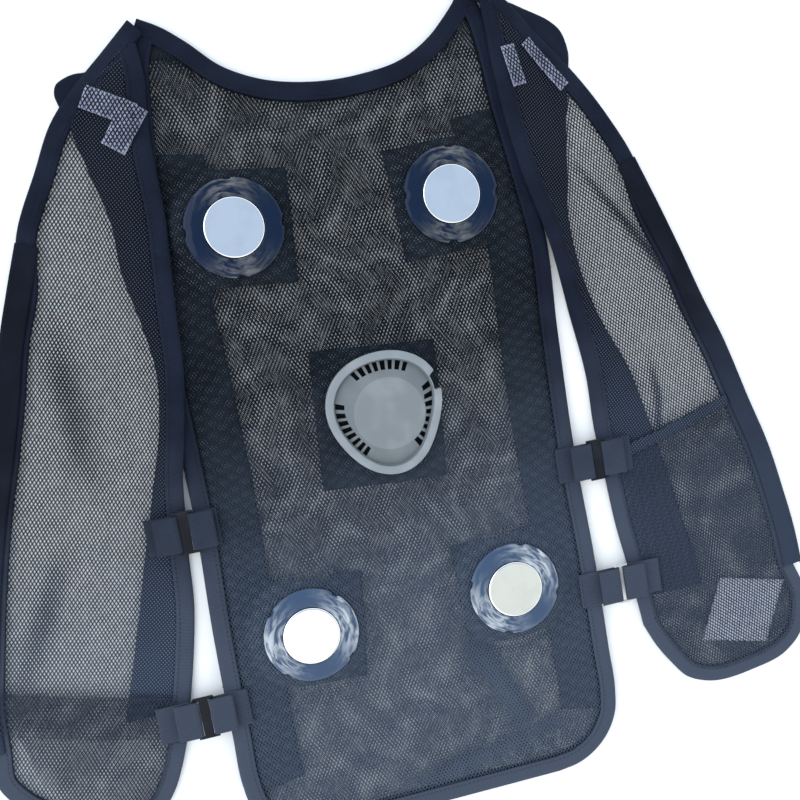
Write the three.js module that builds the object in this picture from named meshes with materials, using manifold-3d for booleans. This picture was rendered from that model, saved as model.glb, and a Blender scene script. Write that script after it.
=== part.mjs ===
import * as THREE from "three";
import { mergeVertices } from "three/addons/utils/BufferGeometryUtils.js";
import Module from "manifold-3d";

// A cooling vest laid open on the floor with its inner face up, in millimetres.
// The back lies in the middle, the two fronts are spread to its sides, +Y runs to the neck.

// Back panel
const BACK_LENGTH = 610;
const BACK_HALF_WIDTH = 150;
const FAN_UP = 310;
const NECK_WIDTH = 234;
const NECK_DEPTH = 56;
const HEM_CORNER_RUN = 56;
const HEM_CORNER_RISE = 54;
const BAND_WIDTH = 46;

// Fronts
const FRONT_LENGTH = 568;
const FRONT_WIDTH = 155;
const SIDE_GAP = 30;
const FACING_WIDTH = 60;

// Cloth, binding and tape
const CLOTH = 1.1;
const CLEARANCE = 0.3;
const BINDING_WIDTH = 13;
const TAPE_WIDTH = 16;
const TAPE_PROUD = 6.5;

// Cooling modules
const MODULE_ACROSS = 78.75;
const MODULE_ALONG = 150;
const HOUSING_RADIUS = 34;
const HOUSING_HEIGHT = 8.6;
const RING_RADIUS = 35;
const RING_HEIGHT = 3;
const RING_LIP = 11;
const NOTCH_WIDTH = 5;
const NOTCH_DEPTH = 1.6;
const PLATE_RADIUS = 21;
const PLATE_THICKNESS = 2.4;
const BOSS_RADIUS = 20.5;
const PATCH_SIDE = 82;
const SLOPE_RUN = 14;

// Fan
const FAN_HOUSING_RADIUS = 41;
const FAN_HOUSING_HEIGHT = 3.9;
const FAN_PATCH_WIDTH = 94;
const FAN_PATCH_LENGTH = 104;
const FAN_ACROSS = 7.2;
const FAN_ALONG = 0.8;
const COVER_RADIUS = 44.2;
const COVER_SHIFT = 3.5;
const COVER_OVAL = 1.6;
const COVER_LOBE = 2.1;
const COVER_HEIGHT = 6;
const COVER_RIM = 6;
const COVER_FLOOR = 2;
const DISH_RADIUS = 25.5;
const DISH_HEIGHT = 2.6;
const SLOT_LENGTH = 6.2;
const SLOT_WIDTH = 3;
const SLOT_PITCH = 5.4;
const SLOTS_IN_GROUP = 8;
const SLOT_MARGIN = 1.2;
const RIM_NOTCH = 13;
// Directions from the fan's middle in degrees: the slot groups, the notch in the rim
const SLOT_GROUPS = [93, 196, -14];
const RIM_NOTCH_TURN = 25;

// Pockets, label and shoulder patches
const POCKET_INSET = 3;
const RIGHT_HEM_HEIGHT = 9;
const LEFT_HEM_HEIGHT = 32;
const LABEL_LENGTH = 57;
const LABEL_WIDTH = 53;
const SHOULDER_PATCH_LENGTH = 42;
const SHOULDER_PATCH_WIDTH = 32;

// Side straps and buckles
const WEBBING_WIDTH = 27;
const WEBBING = 1.2;
const TAB_SEAT = 17;
const STRAP_SEAT = 22;
const FOLD_BACK = 15;
const BAR = 2;
const SLIDER_WINDOW = 4.6;
const LOOP_WINDOW = 6.5;

const ROUND_SIDES = 22;
const MOUND_SIDES = 16;
const SMALLEST_DETAIL = 0.02;
const FLOOR_DEPTH = -20;
const SKY_HEIGHT = 60;

// One sheet with the clearance to the next
const PLY = CLOTH + CLEARANCE;
// Levels above the floor on the back, lowest cloth first
const OUTER_LEVEL = PLY;
const FILLER_LEVEL = 2 * PLY;
const INNER_LEVEL = 3 * PLY;
const BACK_LEAF_LEVEL = 4 * PLY;
const BACK_TOP = 5 * PLY;
// Levels above the floor on the fronts
const PANEL_LEVEL = PLY;
const FACING_LEVEL = 2 * PLY;
const POCKET_LEVEL = 3 * PLY;
const POCKET_HEM_LEVEL = 4 * PLY;

const HEM_Y = -FAN_UP;
const TIP = new THREE.Vector2(NECK_WIDTH / 2, BACK_LENGTH - FAN_UP);

// The back's side edge from the hem corner to the tip: share of the length, share of the half width
const BACK_SIDE = [
  { up: 0.15, out: 1.0 },
  { up: 0.282, out: 0.995 },
  { up: 0.417, out: 0.975 },
  { up: 0.571, out: 0.981 },
  { up: 0.696, out: 0.99 },
  { up: 0.75, out: 0.96 },
  { up: 0.8, out: 0.932 },
  { up: 0.856, out: 0.899 },
  { up: 0.912, out: 0.878 },
  { up: 0.954, out: 0.851 },
];

// The neckline from the right tip to the left one: share of the half neck, share of its depth
const NECKLINE = [
  { across: 1, rise: 1 },
  { across: 0.85, rise: 0.632 },
  { across: 0.7, rise: 0.338 },
  { across: 0.524, rise: 0.13 },
  { across: 0.25, rise: 0.01 },
  { across: -0.08, rise: 0 },
  { across: -0.382, rise: 0.13 },
  { across: -0.568, rise: 0.32 },
  { across: -0.754, rise: 0.669 },
  { across: -0.88, rise: 0.87 },
  { across: -1, rise: 1 },
];

// A front laid beside the back, from the tip down: share of its length, the side edge's distance
// from the back's edge in side gaps, the width there, the facing's width, and whether the tape runs
const RIGHT_FRONT = [
  { down: 0.0, gap: 0.0, width: 0.03, facing: 2.4, tape: 0 },
  { down: 0.031, gap: -0.01, width: 0.14, facing: 2.4, tape: 0 },
  { down: 0.062, gap: -0.14, width: 0.226, facing: 2.4, tape: 0 },
  { down: 0.102, gap: -0.22, width: 0.339, facing: 2.4, tape: 0 },
  { down: 0.143, gap: -0.22, width: 0.438, facing: 0.95, tape: 0 },
  { down: 0.194, gap: -0.24, width: 0.531, facing: 0.79, tape: 0 },
  { down: 0.25, gap: -0.21, width: 0.594, facing: 0.63, tape: 0 },
  { down: 0.321, gap: -0.05, width: 0.624, facing: 0.36, tape: 1 },
  { down: 0.384, gap: 0.17, width: 0.657, facing: 0.3, tape: 1 },
  { down: 0.457, gap: 0.44, width: 0.704, facing: 0.38, tape: 1 },
  { down: 0.529, gap: 0.63, width: 0.767, facing: 0.58, tape: 1 },
  { down: 0.602, gap: 0.65, width: 0.843, facing: 0.74, tape: 1 },
  { down: 0.674, gap: 0.72, width: 0.903, facing: 0.84, tape: 1 },
  { down: 0.747, gap: 0.77, width: 0.936, facing: 0.91, tape: 1 },
  { down: 0.801, gap: 0.89, width: 0.942, facing: 0.94, tape: 1 },
  { down: 0.855, gap: 1.01, width: 0.936, facing: 0.94, tape: 1 },
  { down: 0.897, gap: 1.1, width: 0.923, facing: 0, tape: 0 },
  { down: 0.93, gap: 1.37, width: 0.863, facing: 0, tape: 0 },
  { down: 0.961, gap: 1.72, width: 0.75, facing: 0, tape: 0 },
  { down: 0.986, gap: 2.13, width: 0.575, facing: 0, tape: 0 },
  { down: 1.0, gap: 2.71, width: 0.276, facing: 0, tape: 0 },
];
const LEFT_FRONT = [
  { down: 0.0, gap: 0.0, width: 0.03, facing: 2.4, tape: 0 },
  { down: 0.031, gap: -0.12, width: 0.14, facing: 2.4, tape: 0 },
  { down: 0.073, gap: -0.36, width: 0.33, facing: 2.4, tape: 0 },
  { down: 0.107, gap: -0.36, width: 0.425, facing: 1.05, tape: 0 },
  { down: 0.158, gap: -0.38, width: 0.515, facing: 0.78, tape: 0 },
  { down: 0.24, gap: -0.6, width: 0.662, facing: 0.62, tape: 0 },
  { down: 0.292, gap: -0.66, width: 0.72, facing: 0.58, tape: 1 },
  { down: 0.359, gap: -0.66, width: 0.787, facing: 0.42, tape: 1 },
  { down: 0.422, gap: -0.54, width: 0.837, facing: 0.32, tape: 1 },
  { down: 0.491, gap: -0.27, width: 0.87, facing: 0.3, tape: 1 },
  { down: 0.565, gap: 0.06, width: 0.9, facing: 0.36, tape: 1 },
  { down: 0.649, gap: 0.26, width: 0.946, facing: 0.51, tape: 1 },
  { down: 0.73, gap: 0.34, width: 0.99, facing: 0.67, tape: 1 },
  { down: 0.799, gap: 0.58, width: 0.99, facing: 0.74, tape: 1 },
  { down: 0.859, gap: 0.87, width: 0.95, facing: 0.78, tape: 1 },
  { down: 0.903, gap: 1.1, width: 0.87, facing: 0, tape: 0 },
  { down: 0.937, gap: 1.34, width: 0.75, facing: 0, tape: 0 },
  { down: 0.968, gap: 1.65, width: 0.558, facing: 0, tape: 0 },
  { down: 0.99, gap: 2.06, width: 0.336, facing: 0, tape: 0 },
  { down: 1.0, gap: 2.61, width: 0.143, facing: 0, tape: 0 },
];

// Each front: which side, how far down it still lies over the back's edge and where it is flat again,
// its pocket's top edge (shares down at the side and at the tape) and its shoulder patch
const FRONTS = [
  {
    name: "right",
    side: 1,
    rows: RIGHT_FRONT,
    lapEnd: 0.345,
    flatFrom: 0.44,
    pocket: { sideDown: 0.638, tapeDown: 0.592 },
    hem: RIGHT_HEM_HEIGHT,
    shoulder: { down: 0.112, gap: 0.98, turn: -52 },
  },
  {
    name: "left",
    side: -1,
    rows: LEFT_FRONT,
    lapEnd: 0.562,
    flatFrom: 0.612,
    pocket: { sideDown: 0.838, tapeDown: 0.782 },
    hem: LEFT_HEM_HEIGHT,
    shoulder: { down: 0.124, gap: 0.62, turn: -48 },
  },
];
const LABEL_PLACE = { side: 1, across: 0.6, down: 0.908, turn: -13 };

// Side straps: height up the back, the buckle's place in webbing widths out from the back's edge
const STRAPS = [
  { name: "right_upper", side: 1, up: 0.4, buckle: 0.33, slider: true },
  { name: "right_lower", side: 1, up: 0.233, buckle: 0.5, slider: false },
  { name: "left_upper", side: -1, up: 0.415, buckle: 0.02, slider: true },
  { name: "left_lower", side: -1, up: 0.188, buckle: 0.32, slider: true },
];

// Modules: side, direction along the back, and the turns of the ring and of the patch in degrees
const MODULES = [
  { name: "top_left", side: -1, along: 1, turn: -2, lean: -4 },
  { name: "top_right", side: 1, along: 1, turn: -6, lean: 3 },
  { name: "bottom_left", side: -1, along: -1, turn: 50, lean: -7 },
  { name: "bottom_right", side: 1, along: -1, turn: -17, lean: 2 },
];

const FINISH = {
  mesh: new THREE.MeshStandardMaterial({ color: 0x2a3138, roughness: 0.85, metalness: 0 }),
  frontMesh: new THREE.MeshStandardMaterial({ color: 0x3a4149, roughness: 0.85, metalness: 0 }),
  band: new THREE.MeshStandardMaterial({ color: 0x1c2230, roughness: 0.9, metalness: 0 }),
  binding: new THREE.MeshStandardMaterial({ color: 0x1a2232, roughness: 0.8, metalness: 0 }),
  webbing: new THREE.MeshStandardMaterial({ color: 0x171d29, roughness: 0.75, metalness: 0 }),
  label: new THREE.MeshStandardMaterial({ color: 0x9aa2aa, roughness: 0.6, metalness: 0 }),
  blackPlastic: new THREE.MeshStandardMaterial({ color: 0x14171c, roughness: 0.45, metalness: 0 }),
  greyPlastic: new THREE.MeshStandardMaterial({ color: 0x6f7880, roughness: 0.6, metalness: 0 }),
  clearPlastic: new THREE.MeshStandardMaterial({ color: 0x4c5a74, roughness: 0.2, metalness: 0 }),
  mirror: new THREE.MeshStandardMaterial({ color: 0xd8dee4, roughness: 0.1, metalness: 1 }),
  steel: new THREE.MeshStandardMaterial({ color: 0xb8bec4, roughness: 0.25, metalness: 1 }),
};

const wasm = await Module();
wasm.setup();

const vest = new THREE.Group();

function point(x, y) {
  return new THREE.Vector2(x, y);
}

// A closed three.js geometry as a solid that can be joined and cut
function solidOf(geometry) {
  geometry.deleteAttribute("normal");
  geometry.deleteAttribute("uv");
  const merged = mergeVertices(geometry, 1e-4);
  const mesh = new wasm.Mesh({
    numProp: 3,
    vertProperties: merged.attributes.position.array,
    triVerts: new Uint32Array(merged.index.array),
  });
  return new wasm.Manifold(mesh);
}

// A flat outline extruded between two heights
function prism(outline, low, high) {
  const shape = new THREE.Shape(outline);
  const settings = { depth: high - low, bevelEnabled: false };
  const geometry = new THREE.ExtrudeGeometry(shape, settings);
  geometry.translate(0, 0, low);
  return solidOf(geometry);
}

function column(outline) {
  return prism(outline, FLOOR_DEPTH, SKY_HEIGHT);
}

// A profile of radius and height pairs turned round a vertical axis
function turned(profile, sides) {
  const geometry = new THREE.LatheGeometry(profile, sides);
  geometry.rotateX(Math.PI / 2);
  return solidOf(geometry);
}

function cylinder(radius, low, high, sides) {
  const profile = [point(0, low), point(radius, low), point(radius, high), point(0, high)];
  return turned(profile, sides);
}

// A path moved sideways to its left by a distance
function beside(path, distance) {
  return path.map((at, i) => {
    const before = path[Math.max(i - 1, 0)];
    const after = path[Math.min(i + 1, path.length - 1)];
    const arrive = i > 0 ? at.clone().sub(before).normalize() : after.clone().sub(at).normalize();
    const leave = i < path.length - 1 ? after.clone().sub(at).normalize() : arrive.clone();
    const left = point(-arrive.y - leave.y, arrive.x + leave.x).normalize();
    const turn = Math.max(left.dot(point(-arrive.y, arrive.x)), 0.5);
    return at.clone().addScaledVector(left, distance / turn);
  });
}

// The outline of a strip that runs between two distances to the left of a path
function strip(path, near, far) {
  return [...beside(path, near), ...beside(path, far).reverse()];
}

function rectangle(centre, width, length, degrees) {
  const turn = THREE.MathUtils.degToRad(degrees);
  const corners = [point(-1, -1), point(1, -1), point(1, 1), point(-1, 1)];
  return corners.map((c) => {
    const corner = point((c.x * width) / 2, (c.y * length) / 2);
    return corner.rotateAround(point(0, 0), turn).add(centre);
  });
}

function mirrored(path) {
  return path.map((at) => point(-at.x, at.y)).reverse();
}

function onSide(solid, side) {
  return side < 0 ? solid.mirror([1, 0, 0]) : solid;
}

function addPiece(name, solid, material) {
  const { vertProperties, triVerts, numProp } = solid.simplify(SMALLEST_DETAIL).getMesh();
  const positions = new Float32Array((vertProperties.length / numProp) * 3);
  for (let i = 0; i < positions.length / 3; i += 1) {
    for (let axis = 0; axis < 3; axis += 1) {
      positions[3 * i + axis] = vertProperties[numProp * i + axis];
    }
  }
  const geometry = new THREE.BufferGeometry();
  geometry.setAttribute("position", new THREE.BufferAttribute(positions, 3));
  geometry.setIndex(new THREE.BufferAttribute(new Uint32Array(triVerts), 1));
  geometry.computeVertexNormals();
  const mesh = new THREE.Mesh(geometry, material);
  mesh.name = name;
  vest.add(mesh);
}

// The back's right edge from the hem corner to the tip
function backEdge() {
  const side = BACK_SIDE.map((row) => point(row.out * BACK_HALF_WIDTH, HEM_Y + row.up * BACK_LENGTH));
  const corner = [];
  const steps = 5;
  for (let i = 0; i <= steps; i += 1) {
    const angle = (i / steps) * (Math.PI / 2);
    const x = side[0].x - HEM_CORNER_RUN * (1 - Math.sin(angle));
    const y = HEM_Y + HEM_CORNER_RISE * (1 - Math.cos(angle));
    corner.push(point(x, y));
  }
  return [...corner, ...side, TIP.clone()];
}

const RIGHT_EDGE = backEdge();
const BACK_PATH = [...mirrored(RIGHT_EDGE), ...RIGHT_EDGE];
const NECK_PATH = NECKLINE.map((row) =>
  point(row.across * TIP.x, TIP.y - NECK_DEPTH * (1 - row.rise)),
);
const BACK_OUTLINE = [...BACK_PATH.slice(0, -1), ...NECK_PATH.slice(0, -1)];

// The half width of the back at a height, from its edge
function backEdgeAt(y) {
  const edge = RIGHT_EDGE;
  for (let i = 1; i < edge.length; i += 1) {
    if (y <= edge[i].y) {
      const share = (y - edge[i - 1].y) / (edge[i].y - edge[i - 1].y);
      return THREE.MathUtils.lerp(edge[i - 1].x, edge[i].x, Math.max(share, 0));
    }
  }
  return TIP.x;
}

// Mounds: the inner cloth rises over each module and over the fan
const MODULE_PLACES = MODULES.map((m) => ({
  ...m,
  centre: point(m.side * MODULE_ACROSS, m.along * MODULE_ALONG),
}));
const MODULE_RISE = HOUSING_HEIGHT + CLEARANCE;
const FAN_PLACE = point(FAN_ACROSS, FAN_ALONG);
const FAN_RISE = FAN_HOUSING_HEIGHT + CLEARANCE;
const COVER_REACH = COVER_RADIUS + COVER_SHIFT + COVER_OVAL;
const MOUNDS = [
  ...MODULE_PLACES.map((m) => ({ centre: m.centre, crown: RING_RADIUS + 1, rise: MODULE_RISE })),
  { centre: FAN_PLACE, crown: COVER_REACH + 1, rise: FAN_RISE },
];

function mound(place, level) {
  const steepness = SLOPE_RUN / place.rise;
  const skirt = CLOTH;
  const profile = [
    point(0, level - skirt),
    point(place.crown + SLOPE_RUN + skirt * steepness, level - skirt),
    point(place.crown, level + place.rise),
    point(0, level + place.rise),
  ];
  return turned(profile, MOUND_SIDES).translate([place.centre.x, place.centre.y, 0]);
}

function belowFlat(level) {
  const reach = 2 * BACK_LENGTH;
  return prism(rectangle(point(0, 0), reach, reach, 0), FLOOR_DEPTH, level);
}

// Everything below a cloth surface that is flat at a level and rises over the mounds
function belowDrape(level) {
  let solid = belowFlat(level);
  for (const place of MOUNDS) {
    solid = solid.add(mound(place, level));
  }
  return solid;
}

function draped(outline, level, thickness) {
  return belowDrape(level + thickness).intersect(column(outline)).subtract(belowDrape(level));
}

// What the draped back takes up where it rises, kept free by the fronts that lie over its edge
const MOUND_ROOM = MOUNDS.map((place) => mound(place, BACK_LEAF_LEVEL));

const BOSS_HOLES = MODULE_PLACES.map((m) =>
  cylinder(PLATE_RADIUS + 2 * CLEARANCE, FLOOR_DEPTH, SKY_HEIGHT, ROUND_SIDES).translate([
    m.centre.x,
    m.centre.y,
    0,
  ]),
);

function withoutAll(solid, cutters) {
  return cutters.reduce((rest, cutter) => rest.subtract(cutter), solid);
}

// A folded tape round an edge: two leaves and the turn between them, open towards the cloth
function foldedEdge(path, lowSlot, highSlot, top) {
  const onPiece = top.intersect(column(BACK_OUTLINE));
  const whole = onPiece.intersect(column(strip(path, 0, BINDING_WIDTH)));
  const onFloor = whole.subtract(belowFlat(0));
  const inside = column(strip(path, CLOTH, BINDING_WIDTH + 1));
  return onFloor.subtract(highSlot.intersect(inside).subtract(lowSlot));
}

// Back panels, bands and patches
function buildBack() {
  const trim = [
    column(strip(BACK_PATH, -1, PLY)),
    column(strip(NECK_PATH, -1, PLY)),
  ];
  const outer = withoutAll(prism(BACK_OUTLINE, OUTER_LEVEL, OUTER_LEVEL + CLOTH), trim);
  addPiece("back_outer", outer, FINISH.mesh);
  const inner = withoutAll(draped(BACK_OUTLINE, INNER_LEVEL, CLOTH), [...trim, ...BOSS_HOLES]);
  addPiece("back_inner", inner, FINISH.mesh);

  const patches = MODULE_PLACES.map((m) => ({
    name: `module_patch_${m.name}`,
    outline: rectangle(m.centre, PATCH_SIDE, PATCH_SIDE, m.lean),
  }));
  const fanPatch = rectangle(point(0, 0), FAN_PATCH_WIDTH, FAN_PATCH_LENGTH, -4);
  const roomSide = PATCH_SIDE + 2 * CLEARANCE;
  const patchRoom = MODULE_PLACES.map((m) => column(rectangle(m.centre, roomSide, roomSide, m.lean)));
  for (const patch of patches) {
    const cloth = withoutAll(draped(patch.outline, FILLER_LEVEL, CLOTH), [...trim, ...BOSS_HOLES]);
    addPiece(patch.name, cloth, FINISH.band);
  }
  addPiece("fan_patch", draped(fanPatch, FILLER_LEVEL, CLOTH), FINISH.band);

  const rightBand = strip(RIGHT_EDGE.slice(4, -3), BINDING_WIDTH + CLEARANCE, BAND_WIDTH);
  for (const [name, outline] of [
    ["right", rightBand],
    ["left", mirrored(rightBand)],
  ]) {
    const band = withoutAll(draped(outline, FILLER_LEVEL, CLOTH), patchRoom);
    addPiece(`back_band_${name}`, band, FINISH.band);
  }

  const lowSlot = belowFlat(CLOTH);
  const highSlot = belowDrape(BACK_LEAF_LEVEL);
  const top = belowDrape(BACK_LEAF_LEVEL + CLOTH);
  addPiece("neck_binding", foldedEdge(NECK_PATH, lowSlot, highSlot, top), FINISH.binding);
  const neckRoom = column(strip(NECK_PATH, -1, BINDING_WIDTH + CLEARANCE));
  const hemTape = foldedEdge(BACK_PATH.slice(1, -1), lowSlot, highSlot, top).subtract(neckRoom);
  addPiece("back_binding", hemTape, FINISH.binding);
}

// A module: housing with its boss, the ring that clamps the cloth to it and the plate in the ring
function buildModules() {
  const housingTop = FILLER_LEVEL + HOUSING_HEIGHT;
  const ringLow = BACK_LEAF_LEVEL + MODULE_RISE;
  const ringTop = ringLow + RING_HEIGHT;
  const bossTop = ringTop - PLATE_THICKNESS + CLEARANCE;
  const plateTop = bossTop + CLEARANCE + PLATE_THICKNESS;
  const bore = PLATE_RADIUS + 2 * CLEARANCE;
  for (const m of MODULE_PLACES) {
    const at = [m.centre.x, m.centre.y, 0];
    const housing = [
      point(0, FILLER_LEVEL),
      point(HOUSING_RADIUS, FILLER_LEVEL),
      point(HOUSING_RADIUS, housingTop),
      point(BOSS_RADIUS, housingTop),
      point(BOSS_RADIUS, bossTop),
      point(0, bossTop),
    ];
    addPiece(`module_housing_${m.name}`, turned(housing, ROUND_SIDES).translate(at), FINISH.blackPlastic);
    const ring = [
      point(bore, ringLow),
      point(RING_RADIUS, ringLow),
      point(RING_RADIUS, ringLow + RING_HEIGHT * 0.45),
      point(RING_RADIUS - RING_LIP * 0.2, ringLow + RING_HEIGHT * 0.8),
      point(RING_RADIUS - RING_LIP, ringTop),
      point(bore, ringTop),
      point(bore, ringLow),
    ];
    let bezel = turned(ring, ROUND_SIDES);
    for (let quarter = 0; quarter < 4; quarter += 1) {
      const angle = m.turn + 90 * quarter;
      const centre = point(RING_RADIUS, 0).rotateAround(point(0, 0), THREE.MathUtils.degToRad(angle));
      const notch = rectangle(centre, 2 * NOTCH_DEPTH, NOTCH_WIDTH, angle);
      bezel = bezel.subtract(column(notch));
    }
    addPiece(`module_ring_${m.name}`, bezel.translate(at), FINISH.clearPlastic);
    const plate = [
      point(0, bossTop + CLEARANCE),
      point(PLATE_RADIUS, bossTop + CLEARANCE),
      point(PLATE_RADIUS, plateTop - CLEARANCE),
      point(PLATE_RADIUS - 2 * CLEARANCE, plateTop),
      point(0, plateTop),
    ];
    addPiece(`cold_plate_${m.name}`, turned(plate, ROUND_SIDES).translate(at), FINISH.mirror);
  }
}

// How far the fan cover reaches from the fan's middle: a circle that is shifted, oval and three-cornered
function coverReach(angle) {
  const waves = [
    { count: 1, size: COVER_SHIFT, turn: 136 },
    { count: 2, size: COVER_OVAL, turn: 83.5 },
    { count: 3, size: COVER_LOBE, turn: 34.5 },
  ];
  const turns = waves.map((wave) => wave.count * (angle - THREE.MathUtils.degToRad(wave.turn)));
  return waves.reduce((reach, wave, i) => reach + wave.size * Math.cos(turns[i]), COVER_RADIUS);
}

// A point round the fan
function aroundFan(radius, angle) {
  return point(radius * Math.cos(angle), radius * Math.sin(angle)).add(FAN_PLACE);
}

// The fan cover's outline, a given distance inside its rim
function coverOutline(inset) {
  const steps = 30;
  const outline = [];
  for (let i = 0; i < steps; i += 1) {
    const angle = (i / steps) * 2 * Math.PI;
    outline.push(aroundFan(coverReach(angle) - inset, angle));
  }
  return outline;
}

function buildFan() {
  const at = [FAN_PLACE.x, FAN_PLACE.y, 0];
  const housingTop = FILLER_LEVEL + FAN_HOUSING_HEIGHT;
  const drum = cylinder(FAN_HOUSING_RADIUS, FILLER_LEVEL, housingTop, ROUND_SIDES).translate(at);
  addPiece("fan_housing", drum, FINISH.blackPlastic);

  const low = BACK_LEAF_LEVEL + FAN_RISE;
  const top = low + COVER_HEIGHT;
  const floor = low + COVER_FLOOR;
  const dish = cylinder(DISH_RADIUS, low, floor + DISH_HEIGHT, ROUND_SIDES).translate(at);
  let cover = prism(coverOutline(0), low, top);
  cover = cover.subtract(prism(coverOutline(COVER_RIM), floor, SKY_HEIGHT)).add(dish);
  const slotInset = COVER_RIM + SLOT_MARGIN + SLOT_LENGTH / 2;
  for (const middle of SLOT_GROUPS) {
    const groupRadius = coverReach(THREE.MathUtils.degToRad(middle)) - slotInset;
    const slotStep = THREE.MathUtils.radToDeg(SLOT_PITCH / groupRadius);
    for (let i = 0; i < SLOTS_IN_GROUP; i += 1) {
      const angle = middle + (i - (SLOTS_IN_GROUP - 1) / 2) * slotStep;
      const turn = THREE.MathUtils.degToRad(angle);
      const centre = aroundFan(coverReach(turn) - slotInset, turn);
      cover = cover.subtract(column(rectangle(centre, SLOT_LENGTH, SLOT_WIDTH, angle)));
    }
  }
  const notchTurn = THREE.MathUtils.degToRad(RIM_NOTCH_TURN);
  const notchCentre = aroundFan(coverReach(notchTurn), notchTurn);
  const notch = rectangle(notchCentre, 2 * COVER_RIM + COVER_LOBE, RIM_NOTCH, RIM_NOTCH_TURN);
  cover = cover.subtract(prism(notch, floor, SKY_HEIGHT));
  addPiece("fan_cover", cover, FINISH.greyPlastic);
}

// Heights of a front: it rises beside the back's edge where it lies over it
function frontLift(front, y) {
  const lapEnd = TIP.y - front.lapEnd * FRONT_LENGTH;
  const flatFrom = TIP.y - front.flatFrom * FRONT_LENGTH;
  return BACK_TOP * THREE.MathUtils.clamp((y - flatFrom) / (lapEnd - flatFrom), 0, 1);
}

// Everything between the ground and a level over a front, on a grid that follows the back's edge
function belowFront(front, level) {
  const lapRows = [front.lapEnd, front.flatFrom].map((down) => TIP.y - down * FRONT_LENGTH);
  const edgeRows = RIGHT_EDGE.map((at) => at.y);
  const ends = [HEM_Y - FRONT_WIDTH, TIP.y + FRONT_WIDTH];
  const ys = [...ends, ...lapRows, ...edgeRows].sort((a, b) => a - b);
  const rows = ys.filter((y, i) => i === 0 || y - ys[i - 1] > 0.5);
  const ds = [-BACK_HALF_WIDTH, CLEARANCE * 10, SIDE_GAP + CLEARANCE * 10, 2 * FRONT_WIDTH];
  const shares = [1, 1, 0, 0];
  const positions = [];
  for (const y of rows) {
    ds.forEach((d, i) => positions.push(backEdgeAt(y) + d, y, level + shares[i] * frontLift(front, y)));
  }
  const count = rows.length * ds.length;
  for (const y of rows) {
    ds.forEach((d) => positions.push(backEdgeAt(y) + d, y, FLOOR_DEPTH));
  }
  const faces = [];
  const quad = (a, b, c, d) => faces.push(a, b, c, a, c, d);
  const at = (row, col) => row * ds.length + col;
  for (let row = 0; row + 1 < rows.length; row += 1) {
    for (let col = 0; col + 1 < ds.length; col += 1) {
      const [a, b, c, d] = [at(row, col), at(row, col + 1), at(row + 1, col + 1), at(row + 1, col)];
      quad(a, b, c, d);
      quad(d + count, c + count, b + count, a + count);
    }
    const right = ds.length - 1;
    quad(at(row, right), at(row, right) + count, at(row + 1, right) + count, at(row + 1, right));
    quad(at(row + 1, 0), at(row + 1, 0) + count, at(row, 0) + count, at(row, 0));
  }
  const last = rows.length - 1;
  for (let col = 0; col + 1 < ds.length; col += 1) {
    quad(at(0, col + 1), at(0, col), at(0, col) + count, at(0, col + 1) + count);
    quad(at(last, col), at(last, col + 1), at(last, col + 1) + count, at(last, col) + count);
  }
  const mesh = new wasm.Mesh({
    numProp: 3,
    vertProperties: new Float32Array(positions),
    triVerts: new Uint32Array(faces),
  });
  return new wasm.Manifold(mesh);
}

function frontPoint(row, across) {
  const y = TIP.y - row.down * FRONT_LENGTH;
  return point(backEdgeAt(y) + row.gap * SIDE_GAP + across, y);
}

// A front's width without the tape that stands proud of it
function frontWidth(row) {
  return row.width * FRONT_WIDTH - row.tape * TAPE_PROUD;
}

// A row between the table's rows, at a share of the front's length
function rowAt(rows, down) {
  const i = Math.max(rows.findIndex((row) => row.down >= down), 1);
  const share = (down - rows[i - 1].down) / (rows[i].down - rows[i - 1].down);
  const mix = (key) => THREE.MathUtils.lerp(rows[i - 1][key], rows[i][key], share);
  return { down, gap: mix("gap"), width: mix("width"), facing: mix("facing"), tape: rows[i].tape };
}

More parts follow.
